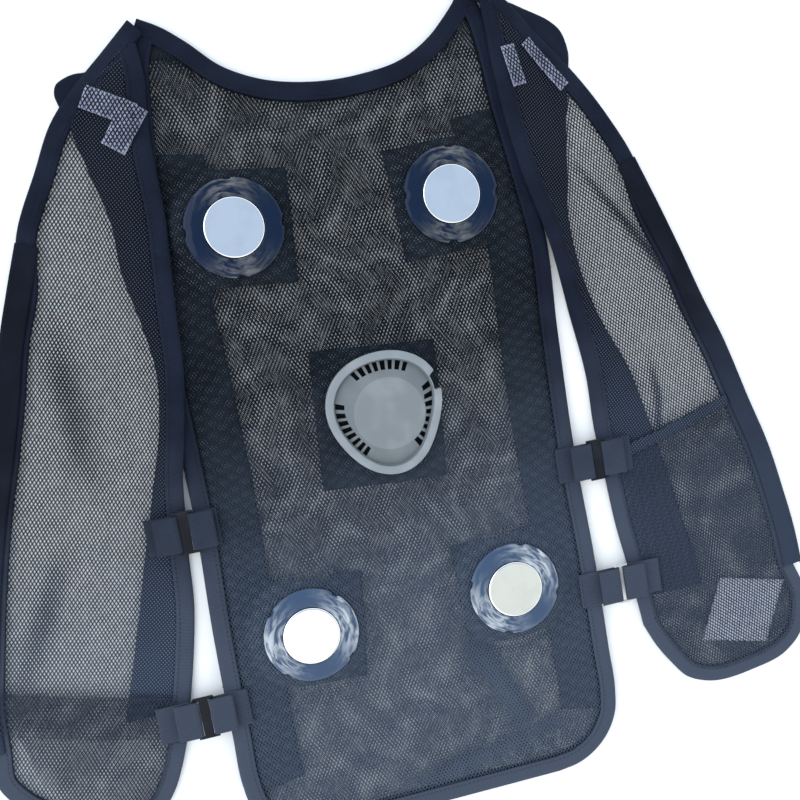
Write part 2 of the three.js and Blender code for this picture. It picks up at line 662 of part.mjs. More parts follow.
function buildFront(front) {
  const place = (name, solid, material) =>
    addPiece(name, withoutAll(onSide(solid, front.side), MOUND_ROOM), material);
  const sheet = (level, outline, thickness = CLOTH) =>
    belowFront(front, level + thickness).intersect(column(outline)).subtract(belowFront(front, level));
  const rows = front.rows;
  const sideEdge = rows.map((row) => frontPoint(row, 0));
  const outerEdge = rows.map((row) => frontPoint(row, frontWidth(row)));
  const turnRow = rows.findIndex((row) => row.down > 0.8 && row.tape === 0);
  const edgePath = [...sideEdge.slice(turnRow), ...outerEdge.slice().reverse()];
  const armPath = sideEdge.slice(2, turnRow + 1);
  const outline = [...sideEdge, ...outerEdge.slice().reverse()];
  const edgeTrim = column(strip(edgePath, -1, PLY));
  const armTrim = column(strip(armPath, -1, PLY));
  place(`front_panel_${front.name}`, withoutAll(sheet(PANEL_LEVEL, outline), [edgeTrim, armTrim]), FINISH.frontMesh);

  const leafRoom = [
    column(strip(edgePath, -1, BINDING_WIDTH + CLEARANCE)),
    column(strip(armPath, -1, BINDING_WIDTH + CLEARANCE)),
  ];
  const faced = rows.slice(1, turnRow);
  const facingLine = faced.map((row) => frontPoint(row, row.facing * FACING_WIDTH));
  const facingOutline = [...sideEdge.slice(1, turnRow), ...facingLine.reverse()];
  const facing = sheet(FACING_LEVEL, facingOutline).intersect(column(outline));
  place(`front_facing_${front.name}`, withoutAll(facing, leafRoom), FINISH.band);

  const lowSlot = belowFront(front, CLOTH);
  const highSlot = belowFront(front, FACING_LEVEL);
  const top = belowFront(front, FACING_LEVEL + CLOTH);
  const under = belowFront(front, 0);
  const folded = (path) => {
    const whole = top.intersect(column(strip(path, 0, BINDING_WIDTH))).subtract(under);
    const inside = column(strip(path, CLOTH, BINDING_WIDTH + 1));
    return whole.subtract(highSlot.intersect(inside).subtract(lowSlot));
  };
  const onPiece = column(outline);
  place(`front_binding_${front.name}`, folded(edgePath).intersect(onPiece), FINISH.binding);
  const armTape = folded(armPath).intersect(onPiece).subtract(leafRoom[0]);
  place(`armhole_binding_${front.name}`, armTape, FINISH.binding);

  const taped = rows.filter((row) => row.tape === 1);
  const tapeStart = rows[rows.indexOf(taped[0]) - 1];
  const tapePath = [tapeStart, ...taped].map((row) => frontPoint(row, row.width * FRONT_WIDTH)).reverse();
  place(`front_tape_${front.name}`, sheet(POCKET_LEVEL, strip(tapePath, 0, TAPE_WIDTH)), FINISH.webbing);

  // Pocket, from its sloping top edge down to the hem
  const pocketSide = rowAt(rows, front.pocket.sideDown);
  const pocketTape = rowAt(rows, front.pocket.tapeDown);
  const below = rows.filter((row) => row.down > front.pocket.sideDown);
  const belowTape = rows.filter((row) => row.down > front.pocket.tapeDown);
  const sideLine = [pocketSide, ...below].map((row) => frontPoint(row, POCKET_INSET));
  const outerLine = [pocketTape, ...belowTape].map((row) =>
    frontPoint(row, frontWidth(row) - POCKET_INSET - row.tape * (TAPE_WIDTH - TAPE_PROUD)),
  );
  const pocketOutline = [...sideLine, ...outerLine.slice().reverse()];
  const hemRoom = column(strip(edgePath, -1, POCKET_INSET));
  const pocket = sheet(POCKET_LEVEL, pocketOutline).subtract(hemRoom);
  place(`pocket_${front.name}`, pocket, FINISH.frontMesh);
  const hemPath = [outerLine[0], sideLine[0]];
  const hem = sheet(POCKET_HEM_LEVEL, strip(hemPath, 0, front.hem)).intersect(column(pocketOutline));
  place(`pocket_hem_${front.name}`, hem, FINISH.binding);

  const seat = frontPoint(rowAt(rows, front.shoulder.down), front.shoulder.gap * SIDE_GAP);
  const patch = rectangle(seat, SHOULDER_PATCH_WIDTH, SHOULDER_PATCH_LENGTH, front.shoulder.turn);
  place(`shoulder_patch_${front.name}`, sheet(POCKET_LEVEL, patch), FINISH.label);
}

function buildLabel() {
  const front = FRONTS.find((f) => f.side === LABEL_PLACE.side);
  const row = rowAt(front.rows, LABEL_PLACE.down);
  const centre = frontPoint(row, LABEL_PLACE.across * row.width * FRONT_WIDTH);
  const outline = rectangle(centre, LABEL_LENGTH, LABEL_WIDTH, LABEL_PLACE.turn);
  const label = prism(outline, FACING_LEVEL, FACING_LEVEL + CLOTH);
  addPiece("label_patch", label, FINISH.label);
}

// A webbing end folded round a bar at the origin and running off to the left
function foldedWeb(length) {
  const inner = BAR * Math.SQRT1_2 + CLEARANCE;
  const outer = inner + WEBBING;
  const profile = [point(-length, -outer), point(0, -outer)];
  const steps = 6;
  for (let i = 1; i <= steps; i += 1) {
    const angle = -Math.PI / 2 + (i / steps) * Math.PI;
    profile.push(point(outer * Math.cos(angle), outer * Math.sin(angle)));
  }
  profile.push(point(-FOLD_BACK, outer), point(-FOLD_BACK, inner), point(0, inner));
  for (let i = 1; i <= steps; i += 1) {
    const angle = Math.PI / 2 - (i / steps) * Math.PI;
    profile.push(point(inner * Math.cos(angle), inner * Math.sin(angle)));
  }
  profile.push(point(-length, -inner));
  const settings = { depth: WEBBING_WIDTH, bevelEnabled: false };
  const geometry = new THREE.ExtrudeGeometry(new THREE.Shape(profile), settings);
  geometry.translate(0, 0, -WEBBING_WIDTH / 2);
  geometry.rotateX(Math.PI / 2);
  return solidOf(geometry);
}

// The lowest level that is free over a front at a height, for a strap's sewn end
function strapSeatLevel(front, y) {
  const pocketTop = TIP.y - front.pocket.sideDown * FRONT_LENGTH;
  const overHem = y - WEBBING_WIDTH / 2 < pocketTop;
  return overHem ? POCKET_HEM_LEVEL + PLY : POCKET_LEVEL;
}

// The lowest level that is free for a buckle beside the back, also over a front that still rises there
function buckleLevel(front, y) {
  const topOfFrame = y + WEBBING_WIDTH / 2 + CLEARANCE + BAR;
  const frontTop = FACING_LEVEL + PLY + frontLift(front, topOfFrame);
  return Math.max(BACK_TOP, frontTop);
}

function buildStrap(strap) {
  const front = FRONTS.find((f) => f.side === strap.side);
  const y = HEM_Y + strap.up * BACK_LENGTH;
  const web = BAR * Math.SQRT1_2 + CLEARANCE + WEBBING;
  const z = buckleLevel(front, y) + web;
  const window = strap.slider ? SLIDER_WINDOW : LOOP_WINDOW;
  const barStep = strap.slider ? 2 * (window + BAR) : window + BAR;
  const edge = backEdgeAt(y);
  const tabBar = edge + strap.buckle * WEBBING_WIDTH;
  const strapBar = tabBar + barStep;
  const centre = point((tabBar + strapBar) / 2, y);
  const frameWidth = barStep + BAR;
  const frameLength = WEBBING_WIDTH + 2 * CLEARANCE + 2 * BAR;
  let frame = prism(rectangle(centre, frameWidth, frameLength, 0), z - BAR / 2, z + BAR / 2);
  const windows = strap.slider ? [-(window + BAR) / 2, (window + BAR) / 2] : [0];
  for (const shift of windows) {
    const hole = rectangle(point(centre.x + shift, y), window, WEBBING_WIDTH + 2 * CLEARANCE, 0);
    frame = frame.subtract(column(hole));
  }
  const buckleFinish = strap.slider ? FINISH.blackPlastic : FINISH.steel;
  addPiece(`buckle_${strap.name}`, onSide(frame, strap.side), buckleFinish);

  const tab = foldedWeb(tabBar - edge + TAB_SEAT).translate([tabBar, y, z]);
  addPiece(`back_tab_${strap.name}`, onSide(tab, strap.side), FINISH.webbing);

  const down = (TIP.y - y) / FRONT_LENGTH;
  const frontEdge = frontPoint(rowAt(front.rows, down), 0).x;
  const length = Math.max(frontEdge - strapBar, 0) + STRAP_SEAT;
  const drop = BACK_TOP - strapSeatLevel(front, y);
  const tilt = THREE.MathUtils.radToDeg(Math.asin(THREE.MathUtils.clamp(drop / length, 0, 0.5)));
  const run = foldedWeb(length).mirror([1, 0, 0]).rotate([0, tilt, 0]).translate([strapBar, y, z]);
  addPiece(`front_strap_${strap.name}`, onSide(run, strap.side), FINISH.webbing);
}

buildBack();
buildModules();
buildFan();
FRONTS.forEach(buildFront);
buildLabel();
STRAPS.forEach(buildStrap);

// The origin is under the middle of the laid-out vest, on the floor
const bounds = new THREE.Box3().setFromObject(vest);
const middle = bounds.getCenter(new THREE.Vector3());
vest.position.set(-middle.x, -middle.y, -bounds.min.z);

export default vest;
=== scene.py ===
"""A net cooling vest laid open on a pale floor, built in cloth, tape and plastic over its solids.

Shapes are worked out in millimetres in the cutter's frame, with the fan in the middle and +Y to the
neck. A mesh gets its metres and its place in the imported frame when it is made.
"""

import logging
import math
from dataclasses import dataclass, replace
from enum import Enum
from typing import Callable, NamedTuple, Sequence

import bmesh
import bpy
import numpy as np
from mathutils import Matrix, Vector


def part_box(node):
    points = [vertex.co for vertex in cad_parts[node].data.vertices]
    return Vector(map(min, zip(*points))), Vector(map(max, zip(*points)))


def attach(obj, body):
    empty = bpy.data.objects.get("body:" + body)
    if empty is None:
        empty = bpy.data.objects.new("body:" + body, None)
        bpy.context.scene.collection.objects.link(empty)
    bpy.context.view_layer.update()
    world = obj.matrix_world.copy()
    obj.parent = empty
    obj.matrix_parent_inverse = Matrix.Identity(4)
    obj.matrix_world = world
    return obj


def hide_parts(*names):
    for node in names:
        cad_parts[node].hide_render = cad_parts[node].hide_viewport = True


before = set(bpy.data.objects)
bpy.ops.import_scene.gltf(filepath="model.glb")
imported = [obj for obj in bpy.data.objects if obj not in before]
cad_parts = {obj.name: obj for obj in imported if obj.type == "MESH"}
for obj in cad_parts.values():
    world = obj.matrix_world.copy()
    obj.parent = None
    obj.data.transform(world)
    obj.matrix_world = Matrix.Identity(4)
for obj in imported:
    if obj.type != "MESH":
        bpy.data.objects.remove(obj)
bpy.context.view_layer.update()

MM = 0.001
BODY = "root"

log = logging.getLogger("vest")

Colour = tuple[float, float, float, float]
Points = np.ndarray
Height = Callable[[Points], Points]


def srgb(red: int, green: int, blue: int) -> Colour:
    """Turn a colour as a screen shows it into scene values.

    Args:
        red: Screen red from 0 to 255.
        green: Screen green from 0 to 255.
        blue: Screen blue from 0 to 255.

    Returns:
        The linear colour with an alpha of one.
    """
    linear = [((c / 255 + 0.055) / 1.055) ** 2.4 if c > 10 else c / 255 / 12.92 for c in (red, green, blue)]
    return (*linear, 1.0)


def eased(share: Points) -> Points:
    """Ease a share in and out at its ends."""
    return share * share * (3 - 2 * share)


# Paths and outlines on the floor


def smooth(points: Sequence, step: float = 2.5) -> Points:
    """Run one soft curve through a few points.

    Args:
        points: The points that the curve passes, in order.
        step: About how far apart its own points are.

    Returns:
        The curve's points.
    """
    knots = np.asarray(points, float)
    chords = np.linalg.norm(np.diff(knots, axis=0), axis=1)
    places = np.concatenate([[0.0], np.cumsum(chords)])
    slopes = np.gradient(knots, places, axis=0)
    samples = np.linspace(0, places[-1], max(math.ceil(places[-1] / step), 2) + 1)
    index = np.clip(np.searchsorted(places, samples, side="right") - 1, 0, len(chords) - 1)
    span = chords[index][:, None]
    share = (samples[:, None] - places[index][:, None]) / span
    rise = eased(share)
    leave = share * (1 - share) ** 2 * span
    arrive = share * share * (share - 1) * span
    line = knots[index] * (1 - rise) + knots[index + 1] * rise
    return line + slopes[index] * leave + slopes[index + 1] * arrive


def evenly(path: Points, count: int) -> Points:
    """Take a number of points at even distances along a path.

    Args:
        path: The path.
        count: How many points are wanted.

    Returns:
        The new path.
    """
    places = run_of(path)
    samples = np.linspace(0, places[-1], count)
    return np.stack([np.interp(samples, places, path[:, axis]) for axis in range(2)], axis=1)


def run_of(path: Points) -> Points:
    """Give the distance along a path at each of its points."""
    return np.concatenate([[0.0], np.cumsum(np.linalg.norm(np.diff(path, axis=0), axis=1))])


def leftward(path: Points) -> Points:
    """Give the direction to the left of a path at each of its points."""
    along = np.gradient(path, axis=0)
    along /= np.maximum(np.linalg.norm(along, axis=1, keepdims=True), 1e-9)
    return np.stack([-along[:, 1], along[:, 0]], axis=1)


def beside(path: Points, distance: float) -> Points:
    """Move a path sideways to its left by a distance."""
    return path + leftward(path) * distance


def mirrored(path: Points) -> Points:
    """Turn a path over to the other side of the vest, keeping its inside to the left."""
    return (path * [-1, 1])[::-1]


def inside(outline: Points, spots: Points) -> Points:
    """Find which spots lie within a closed outline.

    Args:
        outline: The outline's points, the last one joined to the first.
        spots: The points to test, in any shape of array.

    Returns:
        True for each spot that lies within.
    """
    x, y = spots[..., 0], spots[..., 1]
    within = np.zeros(x.shape, bool)
    for (ax, ay), (bx, by) in zip(outline, np.roll(outline, -1, axis=0)):
        if ay != by:
            crosses = (ay > y) != (by > y)
            within ^= crosses & (x < (bx - ax) * (y - ay) / (by - ay) + ax)
    return within


def distance_to(path: Points, spots: Points) -> Points:
    """Measure how far spots are from a path's points.

    Args:
        path: The path, with points close together.
        spots: The points to measure from, in any shape of array.

    Returns:
        The distance of each spot.
    """
    nearest = np.full(spots.shape[:-1], np.inf)
    for at in path:
        nearest = np.minimum(nearest, np.hypot(spots[..., 0] - at[0], spots[..., 1] - at[1]))
    return nearest


def area_of(outline: Points) -> float:
    """Measure a closed outline's area in square metres."""
    x, y = outline.T
    return abs(float(np.dot(x, np.roll(y, -1)) - np.dot(y, np.roll(x, -1)))) / 2 * MM * MM


def rectangle(centre: Sequence, width: float, length: float, degrees: float, lean: float = 0.0) -> Points:
    """Lay a turned rectangle on the floor.

    Args:
        centre: Its middle.
        width: Its size along X before it is turned.
        length: Its size along Y before it is turned.
        degrees: The turn.
        lean: How much further its sides are turned, as on a cloth that is pulled askew.

    Returns:
        Its corners, counter-clockwise from the lower left.
    """
    turn, side_turn = math.radians(degrees), math.radians(degrees + lean)
    corners = np.array([[-1, -1], [1, -1], [1, 1], [-1, 1]]) * [width / 2, length / 2]
    across = np.array([math.cos(turn), math.sin(turn)])
    upward = np.array([-math.sin(side_turn), math.cos(side_turn)])
    return corners[:, :1] * across + corners[:, 1:] * upward + np.asarray(centre, float)


# Meshes


@dataclass
class Shape:
    """A mesh in the making, in millimetres.

    Attributes:
        points: The vertices.
        faces: Arrays of faces, each with three or four corners a row.
        run: A coordinate of each vertex that patterns follow.
        shades: The material number of each face, or nothing for the first material.
        sharp: Degrees between faces from which an edge looks sharp, or nothing if all are soft.
    """

    points: Points
    faces: list
    run: Points | None = None
    shades: list | None = None
    sharp: float | None = None

    def joined(self, other: "Shape", shade: int = 0) -> "Shape":
        """Add another shape to this one.

        Args:
            other: The shape that is added.
            shade: The material number of its faces.

        Returns:
            Both as one shape.
        """
        shift = len(self.points)
        own_run = self.run if self.run is not None else np.zeros_like(self.points)
        other_run = other.run if other.run is not None else np.zeros_like(other.points)
        own_shades = self.shades or [np.zeros(len(f), int) for f in self.faces]
        other_shades = [np.full(len(f), shade) for f in other.faces]
        return Shape(
            np.vstack([self.points, other.points]),
            self.faces + [f + shift for f in other.faces],
            np.vstack([own_run, other_run]),
            own_shades + other_shades,
        )

    def on_side(self, side: int) -> "Shape":
        """Mirror the shape to the vest's left side if side is negative."""
        if side > 0:
            return self
        faces = [f[:, ::-1] for f in self.faces]
        return Shape(self.points * [-1, 1, 1], faces, self.run, self.shades, self.sharp)


FAN_CENTRE = np.array([7.2, 0.8])


def vest_place() -> Points:
    """Give the cutter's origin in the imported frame, in metres."""
    low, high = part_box("fan_housing")
    fan = [(low[axis] + high[axis]) / 2 - FAN_CENTRE[axis] * MM for axis in range(2)]
    return np.array([*fan, 0.0])


VEST_PLACE = vest_place()


def make_piece(name: str, shape: Shape, materials: Sequence, node: str) -> bpy.types.Object:
    """Make a piece of the vest that stands for one of its solids.

    Args:
        name: The piece's name.
        shape: Its mesh in millimetres.
        materials: Its materials, in the order of the face numbers.
        node: The solid that it replaces.

    Returns:
        The new object, riding on the vest's body.
    """
    mesh = bpy.data.meshes.new(name)
    corners = np.concatenate([f.ravel() for f in shape.faces])
    sizes = np.concatenate([np.full(len(f), f.shape[1]) for f in shape.faces])
    mesh.vertices.add(len(shape.points))
    mesh.vertices.foreach_set("co", (shape.points * MM + VEST_PLACE).astype(np.float32).ravel())
    mesh.loops.add(len(corners))
    mesh.loops.foreach_set("vertex_index", corners.astype(np.int32))
    mesh.polygons.add(len(sizes))
    mesh.polygons.foreach_set("loop_start", (np.cumsum(sizes) - sizes).astype(np.int32))
    if shape.shades is not None:
        mesh.polygons.foreach_set("material_index", np.concatenate(shape.shades).astype(np.int32))
    mesh.update(calc_edges=True)
    mesh.shade_smooth()
    if shape.sharp is not None:
        mesh.set_sharp_from_angle(angle=math.radians(shape.sharp))
    if shape.run is not None:
        run = mesh.attributes.new("run", "FLOAT_VECTOR", "POINT")
        run.data.foreach_set("vector", shape.run.astype(np.float32).ravel())
    for material in materials:
        mesh.materials.append(material)
    piece = bpy.data.objects.new(name, mesh)
    bpy.context.scene.collection.objects.link(piece)
    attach(piece, BODY)
    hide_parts(node)
    log.info("%s: %d faces for %s", name, len(mesh.polygons), node)
    return piece


def lattice_faces(rows: int, columns: int, around: bool = False) -> Points:
    """Number the faces of a grid of vertices.

    Args:
        rows: How many rows of vertices there are.
        columns: How many vertices a row has.
        around: Whether the last column joins the first.

    Returns:
        One row of four corners for each face.
    """
    number = np.arange(rows * columns).reshape(rows, columns)
    right = np.roll(number, -1, axis=1)
    faces = np.stack([number[:-1], right[:-1], right[1:], number[1:]], axis=-1)
    faces = faces if around else faces[:, :-1]
    return faces.reshape(-1, 4)


def rim_faces(rows: int, columns: int) -> Points:
    """Number the faces that join the border of a grid of vertices to that of the next such grid.

    Args:
        rows: How many rows of vertices a grid has.
        columns: How many vertices a row has.

    Returns:
        One row of four corners for each face.
    """
    number = np.arange(rows * columns).reshape(rows, columns)
    border = np.concatenate([number[0, :-1], number[:-1, -1], number[-1, :0:-1], number[:0:-1, 0]])
    after = np.roll(border, -1)
    return np.stack([border, border + number.size, after + number.size, after], axis=1)


def sheet_between(near: Points, far: Points, columns: int, top: Height, thickness: float) -> Shape:
    """Lay a closed thin sheet of cloth between two paths.

    Args:
        near: The path along one edge.
        far: The path along the other edge, with as many points.
        columns: How many faces there are from one edge to the other.
        top: The height of its upper face over a spot.
        thickness: Its thickness.

    Returns:
        The sheet, with distances along and across it as its run.
    """
    shares = np.linspace(0, 1, columns + 1)[None, :, None]
    flat = near[:, None] * (1 - shares) + far[:, None] * shares
    rows, count = flat.shape[:2]
    height = top(flat)
    edge = np.minimum(shares[..., 0], 1 - shares[..., 0]) * np.linalg.norm(far - near, axis=1)[:, None]
    softened = height - 0.35 * thickness * np.exp(-edge / 0.8)
    upper = np.dstack([flat, softened]).reshape(-1, 3)
    lower = np.dstack([flat, height - thickness]).reshape(-1, 3)
    along = np.repeat(run_of(near), count)
    across = (shares[..., 0] * np.linalg.norm(far - near, axis=1)[:, None]).ravel()
    run = np.stack([along, across, np.zeros_like(along)], axis=1)
    grid = lattice_faces(rows, count)
    ahead, aside = near[1] - near[0], far[0] - near[0]
    faces = [grid[:, ::-1], grid + rows * count, rim_faces(rows, count)[:, ::-1]]
    if ahead[0] * aside[1] < ahead[1] * aside[0]:
        faces = [f[:, ::-1] for f in faces]
    return Shape(np.vstack([upper, lower]), [np.vstack(faces)], np.vstack([run, run]))


def swept(path: Points, section: Points, lift: Height) -> Shape:
    """Sweep a closed section along a path.

    Args:
        path: The path on the floor.
        section: Pairs of distance to the path's left and height, clockwise seen along the path.
        lift: The floor's own height under a spot.

    Returns:
        The swept shape with closed ends, and distances along and round it as its run.
    """
    left = leftward(path)
    flat = path[:, None] + left[:, None] * section[None, :, :1]
    height = section[None, :, 1] + lift(flat)
    rows, count = height.shape
    points = np.dstack([flat, height]).reshape(-1, 3)
    girth = np.tile(run_of(section), rows)
    run = np.stack([np.repeat(run_of(path), count), girth, np.zeros(rows * count)], axis=1)
    faces = lattice_faces(rows, count, around=True)[:, ::-1]
    middles = points.reshape(rows, count, 3)[[0, -1]].mean(axis=1)
    first = np.arange(count)
    last = first + (rows - 1) * count
    caps = np.vstack(
        [
            np.stack([first, np.full(count, rows * count), np.roll(first, -1)], axis=1),
            np.stack([np.roll(last, -1), np.full(count, rows * count + 1), last], axis=1),
        ]
    )
    ends = np.array([[0.0, 0.0, 0.0], [run_of(path)[-1], 0.0, 0.0]])
    return Shape(np.vstack([points, middles]), [faces, caps[:, ::-1]], np.vstack([run, ends]))


@dataclass(frozen=True)
class StitchRow:
    """A row of short raised stitches.

    Attributes:
        pitch: Distance between two stitches.
        length: Length of one.
        radius: Half its thickness.
    """

    pitch: float = 3.4
    length: float = 2.5
    radius: float = 0.28

    def sew(self, path: Points, top: Height) -> Shape:
        """Sew along a path.

        Args:
            path: Where the row runs.
            top: The height of the cloth over a spot.

        Returns:
            All the stitches as one shape.
        """
        path = evenly(path, max(int(run_of(path)[-1] / self.pitch), 2))
        spots, across = path[:-1], leftward(path)[:-1]
        along = np.stack([across[:, 1], -across[:, 0]], axis=1)
        stations = np.array([-0.5, -0.36, 0.0, 0.36, 0.5]) * self.length
        girths = np.array([0.25, 0.9, 1.0, 0.9, 0.25]) * self.radius
        dips = np.array([-1.2, -0.1, 0.25, -0.1, -1.2]) * self.radius
        sides = 6
        turns = np.arange(sides) * math.tau / sides
        sideways = (girths[:, None] * np.cos(turns)).ravel()
        upward = (girths[:, None] * np.sin(turns) + dips[:, None]).ravel()
        ahead = np.repeat(stations, sides)
        flat = spots[:, None] + along[:, None] * ahead[None, :, None]
        flat = flat + across[:, None] * sideways[None, :, None]
        points = np.dstack([flat, upward[None] + top(spots)[:, None] + self.radius * 0.4])
        walls = lattice_faces(len(stations), sides, around=True)
        last = len(ahead) - sides
        near_end = np.array([[5, 4, 3, 2], [5, 2, 1, 0]])
        far_end = np.array([[0, 1, 2, 3], [0, 3, 4, 5]]) + last
        one = np.vstack([walls, near_end, far_end])
        faces = (one[None] + (np.arange(len(spots)) * len(ahead))[:, None, None]).reshape(-1, 4)
        return Shape(points.reshape(-1, 3), [faces])


# The pattern that the vest is cut from


@dataclass(frozen=True)
class VestPattern:
    """Driving lengths of the cut vest, in millimetres."""

    back_length: float = 610.0
    back_half_width: float = 150.0
    fan_up: float = 310.0
    neck_width: float = 234.0
    neck_depth: float = 56.0
    hem_corner_run: float = 56.0
    hem_corner_rise: float = 54.0
    module_across: float = 78.75
    module_along: float = 150.0
    band_width: float = 46.0
    front_length: float = 568.0
    front_width: float = 155.0
    side_gap: float = 30.0
    facing_width: float = 60.0
    cloth: float = 1.1
    clearance: float = 0.3
    binding_width: float = 13.0
    tape_width: float = 16.0
    tape_proud: float = 6.5

    @property
    def ply(self) -> float:
        """One cloth with the clearance over it."""
        return self.cloth + self.clearance

    @property
    def hem_y(self) -> float:
        """Where the back's hem lies."""
        return -self.fan_up

    @property
    def tip_x(self) -> float:
        """How far a shoulder tip is from the middle."""
        return self.neck_width / 2

    @property
    def tip_y(self) -> float:
        """How far up the shoulder tips are."""
        return self.back_length - self.fan_up

    @property
    def back_top(self) -> float:
        """The lowest free height over the back's tapes."""
        return 5 * self.ply


PATTERN = VestPattern()


class SideRow(NamedTuple):
    """A point of the back's side edge: share of the length up, share of the half width out."""

    up: float
    out: float


class NeckRow(NamedTuple):
    """A point of the neckline: share of the half neck across, share of its depth up."""

    across: float
    rise: float


class FrontRow(NamedTuple):
    """A row of a front: share down, gap to the back in side gaps, width, facing, and whether taped."""

    down: float
    gap: float
    width: float
    facing: float
    tape: int


BACK_SIDE = [
    SideRow(up=0.15, out=1.0),
    SideRow(up=0.282, out=0.995),
    SideRow(up=0.417, out=0.975),
    SideRow(up=0.571, out=0.981),
    SideRow(up=0.696, out=0.99),
    SideRow(up=0.75, out=0.96),
    SideRow(up=0.8, out=0.932),
    SideRow(up=0.856, out=0.899),
    SideRow(up=0.912, out=0.878),
    SideRow(up=0.954, out=0.851),
]

NECKLINE = [
    NeckRow(across=1, rise=1),
    NeckRow(across=0.85, rise=0.632),
    NeckRow(across=0.7, rise=0.338),
    NeckRow(across=0.524, rise=0.13),
    NeckRow(across=0.25, rise=0.01),
    NeckRow(across=-0.08, rise=0),
    NeckRow(across=-0.382, rise=0.13),
    NeckRow(across=-0.568, rise=0.32),
    NeckRow(across=-0.754, rise=0.669),
    NeckRow(across=-0.88, rise=0.87),
    NeckRow(across=-1, rise=1),
]

RIGHT_FRONT = [
    FrontRow(down=0.0, gap=0.0, width=0.03, facing=2.4, tape=0),
    FrontRow(down=0.031, gap=-0.01, width=0.14, facing=2.4, tape=0),
    FrontRow(down=0.062, gap=-0.14, width=0.226, facing=2.4, tape=0),
    FrontRow(down=0.102, gap=-0.22, width=0.339, facing=2.4, tape=0),
    FrontRow(down=0.143, gap=-0.22, width=0.438, facing=0.95, tape=0),
    FrontRow(down=0.194, gap=-0.24, width=0.531, facing=0.79, tape=0),
    FrontRow(down=0.25, gap=-0.21, width=0.594, facing=0.63, tape=0),
    FrontRow(down=0.321, gap=-0.05, width=0.624, facing=0.36, tape=1),
    FrontRow(down=0.384, gap=0.17, width=0.657, facing=0.3, tape=1),
    FrontRow(down=0.457, gap=0.44, width=0.704, facing=0.38, tape=1),
    FrontRow(down=0.529, gap=0.63, width=0.767, facing=0.58, tape=1),
    FrontRow(down=0.602, gap=0.65, width=0.843, facing=0.74, tape=1),
    FrontRow(down=0.674, gap=0.72, width=0.903, facing=0.84, tape=1),
    FrontRow(down=0.747, gap=0.77, width=0.936, facing=0.91, tape=1),
    FrontRow(down=0.801, gap=0.89, width=0.942, facing=0.94, tape=1),
    FrontRow(down=0.855, gap=1.01, width=0.936, facing=0.94, tape=1),
    FrontRow(down=0.897, gap=1.1, width=0.923, facing=0, tape=0),
    FrontRow(down=0.93, gap=1.37, width=0.863, facing=0, tape=0),
    FrontRow(down=0.961, gap=1.72, width=0.75, facing=0, tape=0),
    FrontRow(down=0.986, gap=2.13, width=0.575, facing=0, tape=0),
    FrontRow(down=1.0, gap=2.71, width=0.276, facing=0, tape=0),
]

LEFT_FRONT = [
    FrontRow(down=0.0, gap=0.0, width=0.03, facing=2.4, tape=0),
    FrontRow(down=0.031, gap=-0.12, width=0.14, facing=2.4, tape=0),
    FrontRow(down=0.073, gap=-0.36, width=0.33, facing=2.4, tape=0),
    FrontRow(down=0.107, gap=-0.36, width=0.425, facing=1.05, tape=0),
    FrontRow(down=0.158, gap=-0.38, width=0.515, facing=0.78, tape=0),
    FrontRow(down=0.24, gap=-0.6, width=0.662, facing=0.62, tape=0),
    FrontRow(down=0.292, gap=-0.66, width=0.72, facing=0.58, tape=1),
    FrontRow(down=0.359, gap=-0.66, width=0.787, facing=0.42, tape=1),
    FrontRow(down=0.422, gap=-0.54, width=0.837, facing=0.32, tape=1),
    FrontRow(down=0.491, gap=-0.27, width=0.87, facing=0.3, tape=1),
    FrontRow(down=0.565, gap=0.06, width=0.9, facing=0.36, tape=1),
    FrontRow(down=0.649, gap=0.26, width=0.946, facing=0.51, tape=1),
    FrontRow(down=0.73, gap=0.34, width=0.99, facing=0.67, tape=1),
    FrontRow(down=0.799, gap=0.58, width=0.99, facing=0.74, tape=1),
    FrontRow(down=0.859, gap=0.87, width=0.95, facing=0.78, tape=1),
    FrontRow(down=0.903, gap=1.1, width=0.87, facing=0, tape=0),
    FrontRow(down=0.937, gap=1.34, width=0.75, facing=0, tape=0),
    FrontRow(down=0.968, gap=1.65, width=0.558, facing=0, tape=0),
    FrontRow(down=0.99, gap=2.06, width=0.336, facing=0, tape=0),
    FrontRow(down=1.0, gap=2.61, width=0.143, facing=0, tape=0),
]


class Side(Enum):
    """The two sides of the laid vest."""

    RIGHT = 1
    LEFT = -1

    @property
    def label(self) -> str:
        """The side's word in the names of nodes."""
        return self.name.lower()


class Corner(Enum):
    """Where a cooling module sits: its side, its direction along the back, and its patch's lean."""

    TOP_LEFT = (-1, 1, -4)
    TOP_RIGHT = (1, 1, 3)
    BOTTOM_LEFT = (-1, -1, -7)
    BOTTOM_RIGHT = (1, -1, 2)

    @property
    def label(self) -> str:
        """The corner's words in the names of nodes."""
        return self.name.lower()

    @property
    def centre(self) -> Points:
        """The module's middle."""
        side, along, _ = self.value
        return np.array([side * PATTERN.module_across, along * PATTERN.module_along])


@dataclass(frozen=True)
class Mound:
    """A place where the inner cloth rises over a hard piece.

    Attributes:
        centre: Its middle.
        crown: Radius of its flat top.
        rise: How high it lifts the cloth.
        run: Length of its slope.
    """

    centre: tuple[float, float]
    crown: float
    rise: float
    run: float = 14.0

    def over(self, spots: Points) -> Points:
        """Give the cloth's lift over spots."""
        away = np.hypot(spots[..., 0] - self.centre[0], spots[..., 1] - self.centre[1])
        share = np.clip((self.crown + self.run - away) / self.run, 0, 1)
        return self.rise * eased(share)


